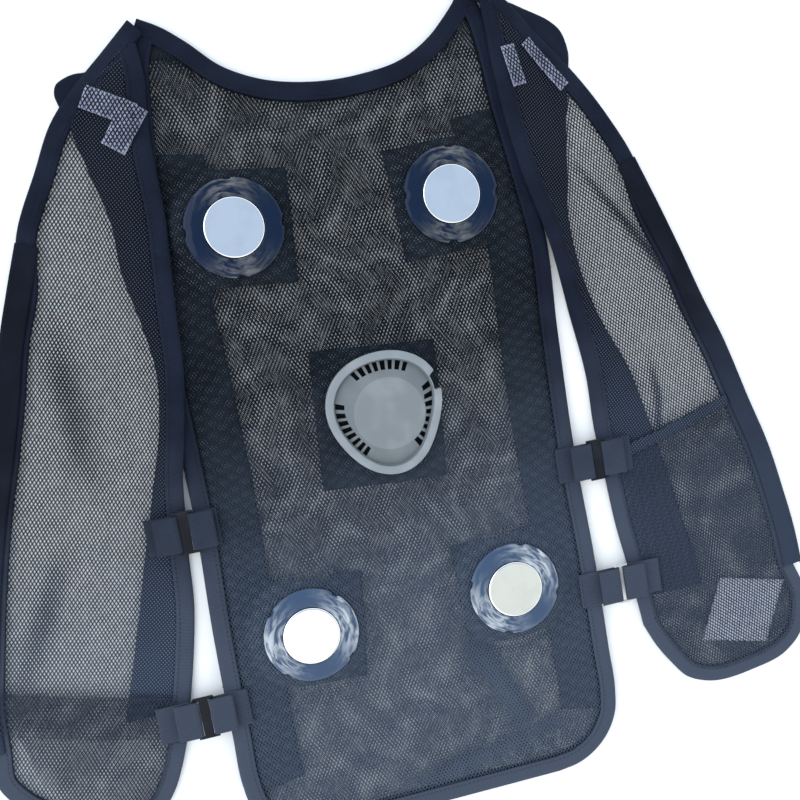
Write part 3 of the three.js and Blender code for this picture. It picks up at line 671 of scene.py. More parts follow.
class BackForm:
    """The back's outline and the heights of its cloths.

    The inner cloth rises over the modules and the fan, each with the radius of its crown and the rise.
    """

    MODULE_MOUND = (36.0, 8.9)
    FAN_MOUND = (50.3, 4.2)

    def __init__(self, pattern: VestPattern) -> None:
        """Work out the edges from the pattern."""
        self.pattern = pattern
        side = [
            (row.out * pattern.back_half_width, pattern.hem_y + row.up * pattern.back_length)
            for row in BACK_SIDE
        ]
        turns = np.linspace(0, math.pi / 2, 6)
        corner = [
            (
                side[0][0] - pattern.hem_corner_run * (1 - math.sin(turn)),
                pattern.hem_y + pattern.hem_corner_rise * (1 - math.cos(turn)),
            )
            for turn in turns
        ]
        self.right_edge = smooth([*corner, *side, (pattern.tip_x, pattern.tip_y)])
        neck = [
            (row.across * pattern.tip_x, pattern.tip_y - pattern.neck_depth * (1 - row.rise))
            for row in NECKLINE
        ]
        self.neck_path = smooth(neck)
        hem = smooth([(-self.right_edge[0][0], pattern.hem_y), (self.right_edge[0][0], pattern.hem_y)])
        self.edge_path = np.vstack([mirrored(self.right_edge), hem[1:-1], self.right_edge])
        self.outline = np.vstack([self.edge_path[:-1], self.neck_path[:-1]])
        self.mounds = [Mound(tuple(corner.centre), *self.MODULE_MOUND) for corner in Corner]
        self.mounds.append(Mound(tuple(FAN_CENTRE), *self.FAN_MOUND))

    def edge_at(self, y: Points) -> Points:
        """Give the back's half width at heights up the back."""
        return np.interp(y, self.right_edge[:, 1], self.right_edge[:, 0])

    def draped(self, level: float) -> Height:
        """Give the height of a cloth that lies at a level and rises over the mounds."""
        return lambda spots: level + sum(mound.over(spots) for mound in self.mounds)

    def flat(self, level: float) -> Height:
        """Give the height of a cloth that lies flat at a level."""
        return lambda spots: np.full(spots.shape[:-1], level)


@dataclass(frozen=True)
class Crease:
    """A soft fold in the cloth, which can squeeze a net's holes shut along its line.

    Attributes:
        points: Its line.
        height: How far it lifts the cloth.
        width: Half the width of its rise.
        pinch: How far it squeezes a net's holes shut.
        edge: Half the width of the squeezed line.
    """

    points: tuple
    height: float = 0.0
    width: float = 8.0
    pinch: float = 0.6
    edge: float = 4.0

    def nearness(self, spots: Points, width: float) -> Points:
        """Give how near spots are to the fold, 1 on its line and 0 far from it."""
        line = smooth(self.points, 4.0)
        fade = np.sin(np.linspace(0.12, math.pi - 0.12, len(line))) ** 0.7
        near = np.zeros(spots.shape[:-1])
        for at, strength in zip(line, fade):
            away = np.hypot(spots[..., 0] - at[0], spots[..., 1] - at[1])
            near = np.maximum(near, strength * np.exp(-((away / width) ** 2)))
        return near

    def over(self, spots: Points) -> Points:
        """Give the fold's lift over spots."""
        return self.height * self.nearness(spots, self.width)


def pinched(creases: Sequence[Crease]) -> Height:
    """Give how far several folds squeeze a net's holes shut over spots."""
    return lambda spots: np.max([c.pinch * c.nearness(spots, c.edge) for c in creases], axis=0)


class FrontForm:
    """One front's outline and the heights of its cloths, worked out as if it lay on the right."""

    def __init__(self, back: BackForm, side: Side, rows: list, lap: tuple, creases: Sequence[Crease]) -> None:
        """Work out the edges.

        Args:
            back: The back that the front is laid beside.
            side: Which side it lies on.
            rows: The front's rows from the shoulder down.
            lap: How far down it lies over the back, and where it is flat again.
            creases: Its soft folds.
        """
        self.back = back
        self.pattern = back.pattern
        self.side = side
        self.rows = rows
        self.lap = lap
        self.creases = creases
        self.turn = next(i for i, row in enumerate(rows) if row.down > 0.8 and row.tape == 0)
        side_knots = [self.place(row, 0) for row in rows]
        outer_knots = [self.place(row, self.width(row)) for row in rows]
        self.side_edge = smooth(side_knots)
        self.outer_edge = smooth(outer_knots)
        self.edge_path = smooth([*side_knots[self.turn :], *outer_knots[::-1]])[:-1]
        self.arm_path = smooth(side_knots[1 : self.turn + 1])
        self.outline = np.vstack([self.side_edge, self.outer_edge[::-1]])

    def place(self, row: FrontRow, across: float) -> tuple[float, float]:
        """Give the spot at a distance from a row's side edge."""
        y = self.pattern.tip_y - row.down * self.pattern.front_length
        return (float(self.back.edge_at(y)) + row.gap * self.pattern.side_gap + across, y)

    def width(self, row: FrontRow) -> float:
        """Give a row's width without the tape that stands proud of it."""
        return row.width * self.pattern.front_width - row.tape * self.pattern.tape_proud

    def row_at(self, down: float) -> FrontRow:
        """Mix a row between the table's rows, at a share of the front's length."""
        i = max(next(i for i, row in enumerate(self.rows) if row.down >= down), 1)
        before, after = self.rows[i - 1], self.rows[i]
        share = (down - before.down) / (after.down - before.down)
        mixed = [a + (b - a) * share for a, b in zip(before[:-1], after[:-1])]
        return FrontRow(*mixed, tape=after.tape)

    def lift(self, spots: Points) -> Points:
        """Give how far the back's edge and the soft folds raise the front over spots."""
        lap_end, flat_from = [self.pattern.tip_y - down * self.pattern.front_length for down in self.lap]
        down_share = np.clip((spots[..., 1] - flat_from) / (lap_end - flat_from), 0, 1)
        out = spots[..., 0] - self.back.edge_at(spots[..., 1]) - 10 * self.pattern.clearance
        side_share = np.clip(1 - out / self.pattern.side_gap, 0, 1)
        lift = self.pattern.back_top * down_share * side_share
        for crease in self.creases:
            lift = np.maximum(lift, crease.over(spots))
        return lift

    def over(self, level: float) -> Height:
        """Give the height of a cloth at a level over the front."""
        return lambda spots: level + self.lift(spots)


# Shader groups


class Wiring:
    """Adds nodes to a node tree and joins them."""

    def __init__(self, tree: bpy.types.NodeTree) -> None:
        """Keep the tree."""
        self.tree = tree

    def node(self, kind: str, inputs: dict | None = None, **settings: object) -> bpy.types.Node:
        """Add a node.

        Args:
            kind: The node's type, without the ShaderNode in front.
            inputs: Values or sockets for its inputs, by name or number.
            settings: Properties of the node.

        Returns:
            The node.
        """
        made = self.tree.nodes.new(kind if kind.startswith("Node") else "ShaderNode" + kind)
        for name, value in settings.items():
            setattr(made, name, value)
        for key, value in (inputs or {}).items():
            self.feed(made.inputs[key], value)
        return made

    def feed(self, socket: bpy.types.NodeSocket, value: object) -> None:
        """Give a socket its value or its link."""
        if isinstance(value, bpy.types.NodeSocket):
            self.tree.links.new(value, socket)
        else:
            socket.default_value = value

    def maths(self, operation: str, *values: object) -> bpy.types.NodeSocket:
        """Work out one number from others."""
        made = self.node("Math", dict(enumerate(values)), operation=operation)
        return made.outputs[0]

    def mix(self, share: object, first: object, second: object) -> bpy.types.NodeSocket:
        """Mix two colours by a share."""
        made = self.node("Mix", data_type="RGBA")
        self.feed(made.inputs["Factor"], share)
        self.feed(made.inputs[6], first)
        self.feed(made.inputs[7], second)
        return made.outputs[2]

    def ripple(self, place: object, pitch: object) -> bpy.types.NodeSocket:
        """Make a wave along a number, with a pitch between its crests."""
        return self.maths("SINE", self.maths("MULTIPLY", place, self.maths("DIVIDE", math.tau, pitch)))

    def ranged(
        self,
        value: object,
        low: float,
        high: float,
        to_low: float = 0.0,
        to_high: float = 1.0,
    ) -> bpy.types.NodeSocket:
        """Bring a number from one range into another, softly at its ends."""
        inputs = {"Value": value, "From Min": low, "From Max": high, "To Min": to_low, "To Max": to_high}
        return self.node("MapRange", inputs, interpolation_type="SMOOTHSTEP").outputs[0]

    def group(self, tree: bpy.types.NodeTree, **inputs: object) -> bpy.types.Node:
        """Place a group with values for its inputs, whose names have spaces for underscores."""
        made = self.node("Group", node_tree=tree)
        for name, value in inputs.items():
            self.feed(made.inputs[name.replace("_", " ")], value)
        return made


class GroupMaker:
    """Starts a shader node group with named sockets."""

    KINDS = {"colour": "NodeSocketColor", "number": "NodeSocketFloat"}

    def __init__(self, name: str, inputs: dict, outputs: dict) -> None:
        """Make the group.

        Args:
            name: Its name.
            inputs: The kind of each input, or a number for its default.
            outputs: The kind of each output.
        """
        self.tree = bpy.data.node_groups.new(name, "ShaderNodeTree")
        for label, kind in inputs.items():
            word = kind if isinstance(kind, str) else "number"
            socket = self.tree.interface.new_socket(name=label, in_out="INPUT", socket_type=self.KINDS[word])
            if not isinstance(kind, str):
                socket.default_value = kind
        for label, kind in outputs.items():
            self.tree.interface.new_socket(name=label, in_out="OUTPUT", socket_type=self.KINDS[kind])
        self.wiring = Wiring(self.tree)
        self.taken = self.tree.nodes.new("NodeGroupInput").outputs
        self.given = self.tree.nodes.new("NodeGroupOutput").inputs

    def give(self, **values: object) -> bpy.types.NodeTree:
        """Join the outputs and hand the group over."""
        for name, value in values.items():
            self.wiring.feed(self.given[name.replace("_", " ")], value)
        return self.tree


def fibre_shade_group() -> bpy.types.NodeTree:
    """Make the uneven tone of dyed fibre, greyer towards the hem with a painted sheen glare.

    Returns:
        A group from colours and sizes to a colour, a roughness and a height.
    """
    inputs = {
        "Dark": "colour",
        "Light": "colour",
        "Worn": "colour",
        "Wear": 0.0,
        "Patch Scale": 30.0,
        "Fibre Scale": 900.0,
        "Bias": 0.5,
    }
    made = GroupMaker("fibre_shade", inputs, {"Color": "colour", "Roughness": "number", "Height": "number"})
    w, taken = made.wiring, made.taken
    place = w.node("TexCoord").outputs["Object"]
    patch = w.node("TexNoise", {"Vector": place, "Scale": taken["Patch Scale"], "Detail": 3.0})
    fibre = w.node("TexNoise", {"Vector": place, "Scale": taken["Fibre Scale"], "Detail": 2.0})
    cloudy = w.ranged(patch.outputs[0], 0.34, 0.68)
    fine = w.ranged(fibre.outputs[0], 0.3, 0.7)
    share = w.maths("MULTIPLY", w.maths("ADD", cloudy, fine), taken["Bias"])
    colour = w.mix(share, taken["Dark"], taken["Light"])
    apart = w.node("SeparateXYZ", {0: place})
    # Painted sheen glare: the colour is mixed towards a paler glare colour towards the hem, softly and
    # unevenly.
    hemward = w.maths("SUBTRACT", w.maths("MULTIPLY", apart.outputs[0], 0.1), apart.outputs[1])
    glare_share = w.ranged(w.maths("ADD", hemward, w.maths("MULTIPLY", patch.outputs[0], 0.05)), -0.04, 0.19)
    colour = w.mix(w.maths("MULTIPLY", glare_share, taken["Wear"]), colour, taken["Worn"])
    rough = w.ranged(fine, 0.0, 1.0, 0.62, 0.86)
    return made.give(Color=colour, Roughness=rough, Height=fine)


def knit_lattice_group() -> bpy.types.NodeTree:
    """Make the staggered dots of dense knitted cloth.

    Returns:
        A group from the distances between dots to a mask of the dots and a height.
    """
    inputs = {"Across": 2.4, "Along": 1.5, "Turn": 0.0, "Dot Size": 0.5}
    made = GroupMaker("knit_lattice", inputs, {"Dots": "number", "Height": "number"})
    w, taken = made.wiring, made.taken
    place = w.node("TexCoord").outputs["Object"]
    turned = w.node("VectorRotate", {"Vector": place, "Angle": taken["Turn"]}, rotation_type="Z_AXIS")
    apart = w.node("SeparateXYZ", {0: turned.outputs[0]})
    wander = w.node("TexNoise", {"Vector": place, "Scale": 60.0, "Detail": 1.0}).outputs[0]
    across = w.maths("MULTIPLY", apart.outputs[0], w.maths("DIVIDE", math.tau * 1000, taken["Across"]))
    along = w.maths("MULTIPLY", apart.outputs[1], w.maths("DIVIDE", math.pi * 1000, taken["Along"]))
    across = w.maths("ADD", across, w.maths("MULTIPLY", wander, 2.5))
    along = w.maths("ADD", along, w.maths("MULTIPLY", wander, 2.5))
    wave = w.maths("MULTIPLY", w.maths("COSINE", across), w.maths("COSINE", along))
    dots = w.node("MapRange", {"Value": wave, "From Min": taken["Dot Size"], "From Max": 1.0})
    height = w.maths("SUBTRACT", 1.0, dots.outputs[0])
    return made.give(Dots=dots.outputs[0], Height=height)


def rib_weave_group() -> bpy.types.NodeTree:
    """Make the ribs of a woven tape that follow its run.

    Returns:
        A group from the distances between ribs to a shade and a height.
    """
    inputs = {"Rib Pitch": 1.6, "Cross Pitch": 0.9, "Cross Share": 0.4}
    made = GroupMaker("rib_weave", inputs, {"Shade": "number", "Height": "number"})
    w, taken = made.wiring, made.taken
    run = w.node("Attribute", attribute_name="run").outputs["Vector"]
    apart = w.node("SeparateXYZ", {0: run})
    rib = w.ripple(apart.outputs[0], taken["Rib Pitch"])
    cross = w.ripple(apart.outputs[1], taken["Cross Pitch"])
    both = w.maths("ADD", rib, w.maths("MULTIPLY", cross, taken["Cross Share"]))
    shade = w.ranged(both, -1.4, 1.4)
    return made.give(Shade=shade, Height=shade)


def mould_grain_group() -> bpy.types.NodeTree:
    """Make the fine grain and the dust of moulded plastic.

    Returns:
        A group from sizes to a height, a roughness and a mask of dust.
    """
    inputs = {"Grain Scale": 1400.0, "Dust Scale": 55.0, "Smooth": 0.35, "Rough": 0.6}
    outputs = {"Height": "number", "Roughness": "number", "Dust": "number"}
    made = GroupMaker("mould_grain", inputs, outputs)
    w, taken = made.wiring, made.taken
    place = w.node("TexCoord").outputs["Object"]
    grain = w.node("TexNoise", {"Vector": place, "Scale": taken["Grain Scale"], "Detail": 2.0}).outputs[0]
    dust = w.node("TexNoise", {"Vector": place, "Scale": taken["Dust Scale"], "Detail": 4.0}).outputs[0]
    mask = w.ranged(dust, 0.42, 0.72)
    spread = w.maths("SUBTRACT", taken["Rough"], taken["Smooth"])
    rough = w.maths("ADD", taken["Smooth"], w.maths("MULTIPLY", spread, mask))
    return made.give(Height=grain, Roughness=rough, Dust=mask)


def ring_reflection_group() -> bpy.types.NodeTree:
    """Make painted reflection streaks, cloudy in shape, in two opposite parts of a clear ring, from the run
    that goes round it.

    Returns:
        A group from a turn and a narrowness to a mask of painted reflections.
    """
    inputs = {"Turn": 0.0, "Narrow": 2.0, "Swirl Scale": 1.0}
    made = GroupMaker("ring_streak", inputs, {"Streak": "number"})
    w, taken = made.wiring, made.taken
    run = w.node("Attribute", attribute_name="run").outputs["Vector"]
    apart = w.node("SeparateXYZ", {0: run})
    turn = w.maths("ARCTAN2", apart.outputs[1], apart.outputs[0])
    lobe = w.maths("ABSOLUTE", w.maths("COSINE", w.maths("SUBTRACT", turn, taken["Turn"])))
    window = w.maths("POWER", lobe, taken["Narrow"])
    away = w.node("VectorMath", {0: run}, operation="LENGTH").outputs["Value"]
    spots = w.node(
        "CombineXYZ",
        {
            0: w.maths("MULTIPLY", w.maths("COSINE", turn), 1.6),
            1: w.maths("MULTIPLY", w.maths("SINE", turn), 1.6),
            2: w.maths("MULTIPLY", away, 7.0),
        },
    )
    swirl = w.node(
        "TexNoise",
        {"Vector": spots.outputs[0], "Scale": taken["Swirl Scale"], "Detail": 4.0, "Distortion": 0.8},
    )
    streak = w.maths("MULTIPLY", window, w.ranged(swirl.outputs[0], 0.36, 0.68))
    return made.give(Streak=streak)


class Groups:
    """The shader groups, each built once."""

    def __init__(self) -> None:
        """Build them."""
        self.fibre = fibre_shade_group()
        self.lattice = knit_lattice_group()
        self.ribs = rib_weave_group()
        self.grain = mould_grain_group()
        self.streak = ring_reflection_group()


GROUPS = Groups()


# Finishes


class Dressing:
    """A material in the making, with its Principled shader."""

    def __init__(self, name: str, **constants: float) -> None:
        """Start the material.

        Args:
            name: Its name.
            constants: Values of the shader's sockets, whose names have spaces for underscores.
        """
        self.material = bpy.data.materials.new(name)
        self.material.use_nodes = True
        tree = self.material.node_tree
        tree.nodes.clear()
        self.wiring = Wiring(tree)
        self.shader = self.wiring.node("BsdfPrincipled")
        out = self.wiring.node("OutputMaterial")
        tree.links.new(self.shader.outputs[0], out.inputs[0])
        for key, value in constants.items():
            self.shader.inputs[key.replace("_", " ")].default_value = value

    def wear(self, socket: str, value: object) -> None:
        """Feed one of the shader's sockets."""
        self.wiring.feed(self.shader.inputs[socket], value)

    def emboss(self, height: object, strength: float, depth: float) -> None:
        """Raise the surface by a height, with its depth in millimetres."""
        bump = self.wiring.node("Bump", {"Height": height, "Strength": strength, "Distance": depth * MM})
        self.wear("Normal", bump.outputs[0])


@dataclass(frozen=True)
class YarnFinish:
    """The dyed yarn of a net cloth."""

    name: str
    dark: Colour
    light: Colour
    # The next colour is the paler one of the painted sheen glare towards the hem, and the number after it is
    # the glare's strength.
    worn: Colour
    wear: float = 0.8

    def material(self) -> bpy.types.Material:
        """Mix the yarn's material."""
        made = Dressing(self.name, Sheen_Weight=0.01, Sheen_Roughness=0.4, Specular_IOR_Level=0.07)
        shade = made.wiring.group(
            GROUPS.fibre, Dark=self.dark, Light=self.light, Worn=self.worn, Wear=self.wear
        )
        made.wear("Base Color", shade.outputs["Color"])
        made.wear("Roughness", shade.outputs["Roughness"])
        made.emboss(shade.outputs["Height"], 0.4, 0.1)
        return made.material


@dataclass(frozen=True)
class DenseKnitFinish:
    """A dense knitted cloth with small dots between its strands."""

    name: str
    dark: Colour
    light: Colour
    dots: Colour
    # The next two colours are the painted sheen glare towards the hem, on the cloth and on its dots, and the
    # number after them is its strength.
    worn: Colour
    worn_dots: Colour
    wear: float = 0.8
    across: float = 2.4
    along: float = 1.5
    turn: float = 0.0
    dot_size: float = 0.25

    def material(self) -> bpy.types.Material:
        """Mix the cloth's material."""
        made = Dressing(self.name, Sheen_Weight=0.01, Sheen_Roughness=0.45, Specular_IOR_Level=0.07)
        shade = made.wiring.group(
            GROUPS.fibre, Dark=self.dark, Light=self.light, Worn=self.worn, Wear=self.wear
        )
        between = made.wiring.group(
            GROUPS.fibre, Dark=self.dots, Light=self.dots, Worn=self.worn_dots, Wear=self.wear
        )
        knit = made.wiring.group(
            GROUPS.lattice,
            Across=self.across,
            Along=self.along,
            Turn=math.radians(self.turn),
            Dot_Size=self.dot_size,
        )
        colour = made.wiring.mix(knit.outputs["Dots"], shade.outputs["Color"], between.outputs["Color"])
        made.wear("Base Color", colour)
        made.wear("Roughness", shade.outputs["Roughness"])
        made.emboss(knit.outputs["Height"], 0.7, 0.4)
        return made.material


@dataclass(frozen=True)
class TapeFinish:
    """A woven tape with ribs along or across its run, and painted shade in the grooves between the ribs."""

    name: str
    dark: Colour
    light: Colour
    # The next colour is the paler one of the painted sheen glare towards the hem, and the number after it is
    # the glare's strength.
    worn: Colour
    wear: float = 0.8
    rib: float = 1.6
    cross: float = 0.9
    cross_share: float = 0.4
    relief: float = 0.25

    def material(self) -> bpy.types.Material:
        """Mix the tape's material."""
        made = Dressing(self.name, Sheen_Weight=0.01, Sheen_Roughness=0.4, Specular_IOR_Level=0.07)
        ribs = made.wiring.group(
            GROUPS.ribs, Rib_Pitch=self.rib, Cross_Pitch=self.cross, Cross_Share=self.cross_share
        )
        shade = made.wiring.group(
            GROUPS.fibre, Dark=self.dark, Light=self.light, Worn=self.worn, Wear=self.wear, Bias=0.45
        )
        # Painted shade: where the ribs sink, the colour is mixed towards the dark one; the rib tops keep the
        # lighter one.
        deep = made.wiring.mix(0.45, shade.outputs["Color"], self.dark)
        colour = made.wiring.mix(ribs.outputs["Shade"], deep, shade.outputs["Color"])
        made.wear("Base Color", colour)
        made.wear("Roughness", shade.outputs["Roughness"])
        made.emboss(ribs.outputs["Height"], 0.6, self.relief)
        return made.material


@dataclass(frozen=True)
class PlasticFinish:
    """Moulded plastic with a fine grain and a little dust."""

    name: str
    colour: Colour
    dusty: Colour
    smooth: float = 0.35
    rough: float = 0.6
    relief: float = 0.05
    gloss: float = 0.4

    def material(self) -> bpy.types.Material:
        """Mix the plastic's material."""
        made = Dressing(self.name, Specular_IOR_Level=self.gloss)
        grain = made.wiring.group(GROUPS.grain, Smooth=self.smooth, Rough=self.rough)
        made.wear("Base Color", made.wiring.mix(grain.outputs["Dust"], self.colour, self.dusty))
        made.wear("Roughness", grain.outputs["Roughness"])
        made.emboss(grain.outputs["Height"], 0.35, self.relief)
        return made.material


@dataclass(frozen=True)
class SmokyRingFinish:
    """Clear smoky plastic over dark cloth, with painted reflection streaks of cloudy shape and a tint that
    can hold painted glare.
    """

    name: str
    tint: Colour
    streak: Colour
    turn: float
    narrow: float
    cover: float = 0.8

    def material(self) -> bpy.types.Material:
        """Mix the ring's material."""
        made = Dressing(self.name, Coat_Weight=0.04, Coat_Roughness=0.05, Specular_IOR_Level=0.12)
        reflections = made.wiring.group(
            GROUPS.streak, Turn=math.radians(self.turn), Narrow=self.narrow, Swirl_Scale=1.5
        )
        grain = made.wiring.group(GROUPS.grain, Smooth=0.08, Rough=0.16)
        # Painted reflection streaks are mixed over the tint.
        share = made.wiring.maths("MULTIPLY", reflections.outputs["Streak"], self.cover)
        made.wear("Base Color", made.wiring.mix(share, self.tint, self.streak))
        made.wear("Roughness", grain.outputs["Roughness"])
        made.emboss(grain.outputs["Height"], 0.1, 0.03)
        return made.material


@dataclass(frozen=True)
class PolishedMetalFinish:
    """Polished metal with faint wipe marks."""

    name: str
    colour: Colour
    smooth: float = 0.03
    rough: float = 0.09

    def material(self) -> bpy.types.Material:
        """Mix the metal's material."""
        made = Dressing(self.name, Metallic=1.0)
        grain = made.wiring.group(GROUPS.grain, Smooth=self.smooth, Rough=self.rough)
        dimmed = tuple(c * 0.93 for c in self.colour[:3]) + (1.0,)
        made.wear("Base Color", made.wiring.mix(grain.outputs["Dust"], self.colour, dimmed))
        made.wear("Roughness", grain.outputs["Roughness"])
        return made.material


class Finishes:
    """Every material of the vest, mixed once."""

    def __init__(self) -> None:
        """Mix them."""
        # The paler colours of the painted sheen glare that the cloths take towards the hem.
        worn = srgb(66, 77, 94)
        back_glare = srgb(75, 86, 103)
        self.back_yarn = YarnFinish("back_net_yarn", srgb(9, 14, 20), srgb(30, 37, 45), back_glare).material()
        self.front_yarn = YarnFinish(
            "front_net_yarn", srgb(17, 21, 28), srgb(40, 46, 56), worn, wear=0.6
        ).material()
        self.band = DenseKnitFinish(
            "band_knit",
            dark=srgb(16, 22, 30),
            light=srgb(36, 44, 54),
            dots=srgb(96, 107, 121),
            worn=srgb(54, 64, 79),
            worn_dots=srgb(114, 126, 144),
        ).material()
        self.facing = DenseKnitFinish(
            "facing_knit",
            dark=srgb(1, 2, 7),
            light=srgb(9, 12, 21),
            dots=srgb(64, 75, 93),
            worn=srgb(44, 54, 72),
            worn_dots=srgb(106, 118, 138),
            across=2.6,
            turn=16,
            dot_size=0.15,
        ).material()
        self.binding = TapeFinish(
            "binding_tape", srgb(14, 19, 32), srgb(30, 38, 55), srgb(78, 87, 103), rib=1.1, relief=0.12
        ).material()
        self.thread = TapeFinish(
            "sewing_thread", srgb(12, 16, 28), srgb(34, 41, 57), srgb(64, 74, 92), rib=0.6, relief=0.05
        ).material()
        self.front_tape = TapeFinish(
            "front_tape", srgb(10, 14, 24), srgb(24, 30, 43), srgb(60, 71, 90), wear=0.7, rib=1.3
        ).material()
        self.webbing = TapeFinish(
            "ribbed_webbing", srgb(10, 14, 24), srgb(34, 42, 58), srgb(72, 81, 97), rib=0.9, cross=2.2
        ).material()
        self.pale_patch = DenseKnitFinish(
            "pale_patch",
            dark=srgb(118, 122, 146),
            light=srgb(150, 155, 177),
            dots=srgb(178, 183, 200),
            worn=srgb(184, 188, 202),
            worn_dots=srgb(206, 209, 220),
            across=3.1,
        ).material()
        self.label = DenseKnitFinish(
            "label_cloth",
            dark=srgb(186, 190, 206),
            light=srgb(212, 216, 230),
            dots=srgb(230, 233, 242),
            worn=srgb(220, 223, 234),
            worn_dots=srgb(236, 238, 246),
            across=3.1,
        ).material()
        self.black = PlasticFinish("black_plastic", srgb(12, 15, 22), srgb(25, 30, 40), gloss=0.22).material()
        self.grey = PlasticFinish(
            "grey_plastic", srgb(114, 121, 125), srgb(125, 132, 136), smooth=0.5, rough=0.68, relief=0.08
        ).material()
        # Lighter copy of the cover's grey for its raised rim: painted light.
        self.grey_rim_lit = PlasticFinish(
            "grey_rim_lit", srgb(126, 133, 139), srgb(136, 143, 149), smooth=0.42
        ).material()
        # Near-black plastic for the slots: painted shade deep in the vents, over the black housing behind.
        self.slot_shade = PlasticFinish("slot_shade", srgb(8, 9, 13), srgb(14, 16, 22), gloss=0.05).material()
        # Darker copy of the cover's grey for its recess: painted shade.
        self.grey_recess_shade = PlasticFinish(
            "grey_recess_shade", srgb(101, 108, 112), srgb(111, 118, 122), smooth=0.5, rough=0.68
        ).material()
        self.mirror = PolishedMetalFinish("mirror_plate", (0.95, 0.96, 0.97, 1.0)).material()
        self.steel = PolishedMetalFinish(
            "steel_loop", (0.72, 0.74, 0.77, 1.0), smooth=0.18, rough=0.3
        ).material()

    def ring(self, corner: Corner) -> bpy.types.Material:
        """Mix the smoky plastic of one module's ring, with painted reflection streaks, brighter and on a
        lighter tint of painted glare on the lower rings.
        """
        # Painted light: the lower rings get a lighter tint for glare and brighter reflection streaks than the
        # upper ones.
        high = corner.value[1] > 0
        tint = srgb(17, 31, 54) if high else srgb(60, 77, 102)
        streak = srgb(110, 112, 112) if high else srgb(196, 202, 208)
        turns = {"top_left": 90, "top_right": 82, "bottom_left": 8, "bottom_right": 38}
        narrow = 5.0 if high else 2.4
        finish = SmokyRingFinish(f"ring_{corner.label}", tint, streak, turns[corner.label], narrow)
        return finish.material()


# Cloths and tapes

YARN_RISE = 0.3  # How far a net's yarn lies over the level of its cloth


@dataclass(frozen=True)
class NetWeave:
    """How a net cloth is knitted.

    Attributes:
        across: Distance between two holes of a row.
        along: Distance between two rows.
        opening: A hole's size as a share of its cell.
        ridge: How far the yarn stands above the rim of a hole.
        turn: Degrees that the rows are turned by.
        drift: How far the rows wander.
        uneven: How much the holes' sizes differ.
        seed: Seed of the unevenness.
    """

    across: float = 2.9
    along: float = 2.4
    opening: float = 0.62
    ridge: float = 0.35
    turn: float = 0.0
    drift: float = 0.8
    uneven: float = 0.1
    seed: int = 1

    def wandered(self, spots: Points) -> Points:
        """Let the rows wander a little from straight."""
        x, y = spots[..., 0], spots[..., 1]
        phase = self.seed * 1.7
        along = np.sin(x / 23 + phase) * np.cos(y / 31 - phase) + 0.6 * np.sin(x / 9.1 + y / 40 + phase)
        across = np.sin(y / 27 + phase) * np.cos(x / 35) + 0.4 * np.sin(y / 11 + phase)
        return spots + self.drift * np.stack([across, along], axis=-1)

    def knit(
        self,
        kept: Callable[[Points], Points],
        outline: Points,
        height: Height,
        closed: Height | None = None,
    ) -> Shape:
        """Knit the net over an outline.

        Args:
            kept: Tells which spots belong to the net.
            outline: The outline that bounds it.
            height: The height of the cloth over a spot.
            closed: How far the holes are squeezed shut over a spot, from 0 to 1.

        Returns:
            The net, open at its holes.
        """
        turn = math.radians(self.turn)
        rows_to_floor = np.array([[math.cos(turn), math.sin(turn)], [-math.sin(turn), math.cos(turn)]])
        local = outline @ rows_to_floor.T
        half = self.across / 2
        low = np.floor(local.min(axis=0) / [half, self.along]) - 3
        high = np.ceil(local.max(axis=0) / [half, self.along]) + 4
        u, v = np.meshgrid(np.arange(low[0], high[0]), np.arange(low[1], high[1]))
        spots = np.stack([u * half, v * self.along], axis=-1)
        spots = self.wandered(spots) @ rows_to_floor
        middle = (u + v) % 2 == 0
        middle[[0, -1]] = False
        middle[:, [0, -1]] = False
        middle &= kept(spots)
        used = np.zeros_like(middle)
        used[:, 1:] |= middle[:, :-1]
        used[:, :-1] |= middle[:, 1:]
        used[1:] |= middle[:-1]
        used[:-1] |= middle[1:]
        number = np.full(middle.shape, -1)
        number[used] = np.arange(used.sum())
        row, column = np.nonzero(middle)
        around = ((0, 1), (1, 0), (0, -1), (-1, 0))
        corners = np.stack([number[row + up, column + right] for up, right in around], axis=1)
        nodes = spots[used]
        centres = spots[row, column]
        dice = np.random.default_rng(self.seed)
        sizes = self.opening * (1 + self.uneven * dice.uniform(-1, 1, (len(centres), 1, 1)))
        if closed is not None:
            sizes = sizes * (1 - closed(centres))[:, None, None]
        rims = centres[:, None] + (nodes[corners] - centres[:, None]) * sizes
        knots = np.column_stack([nodes, height(nodes) + self.ridge])
        edges = np.concatenate([rims, height(rims)[..., None]], axis=-1).reshape(-1, 3)
        hole = len(nodes) + 4 * np.arange(len(centres))[:, None] + np.arange(4)
        after = np.roll(corners, -1, axis=1)
        hole_after = np.roll(hole, -1, axis=1)
        faces = np.stack([corners, after, hole_after, hole], axis=-1).reshape(-1, 4)
        return Shape(np.vstack([knots, edges]), [faces])


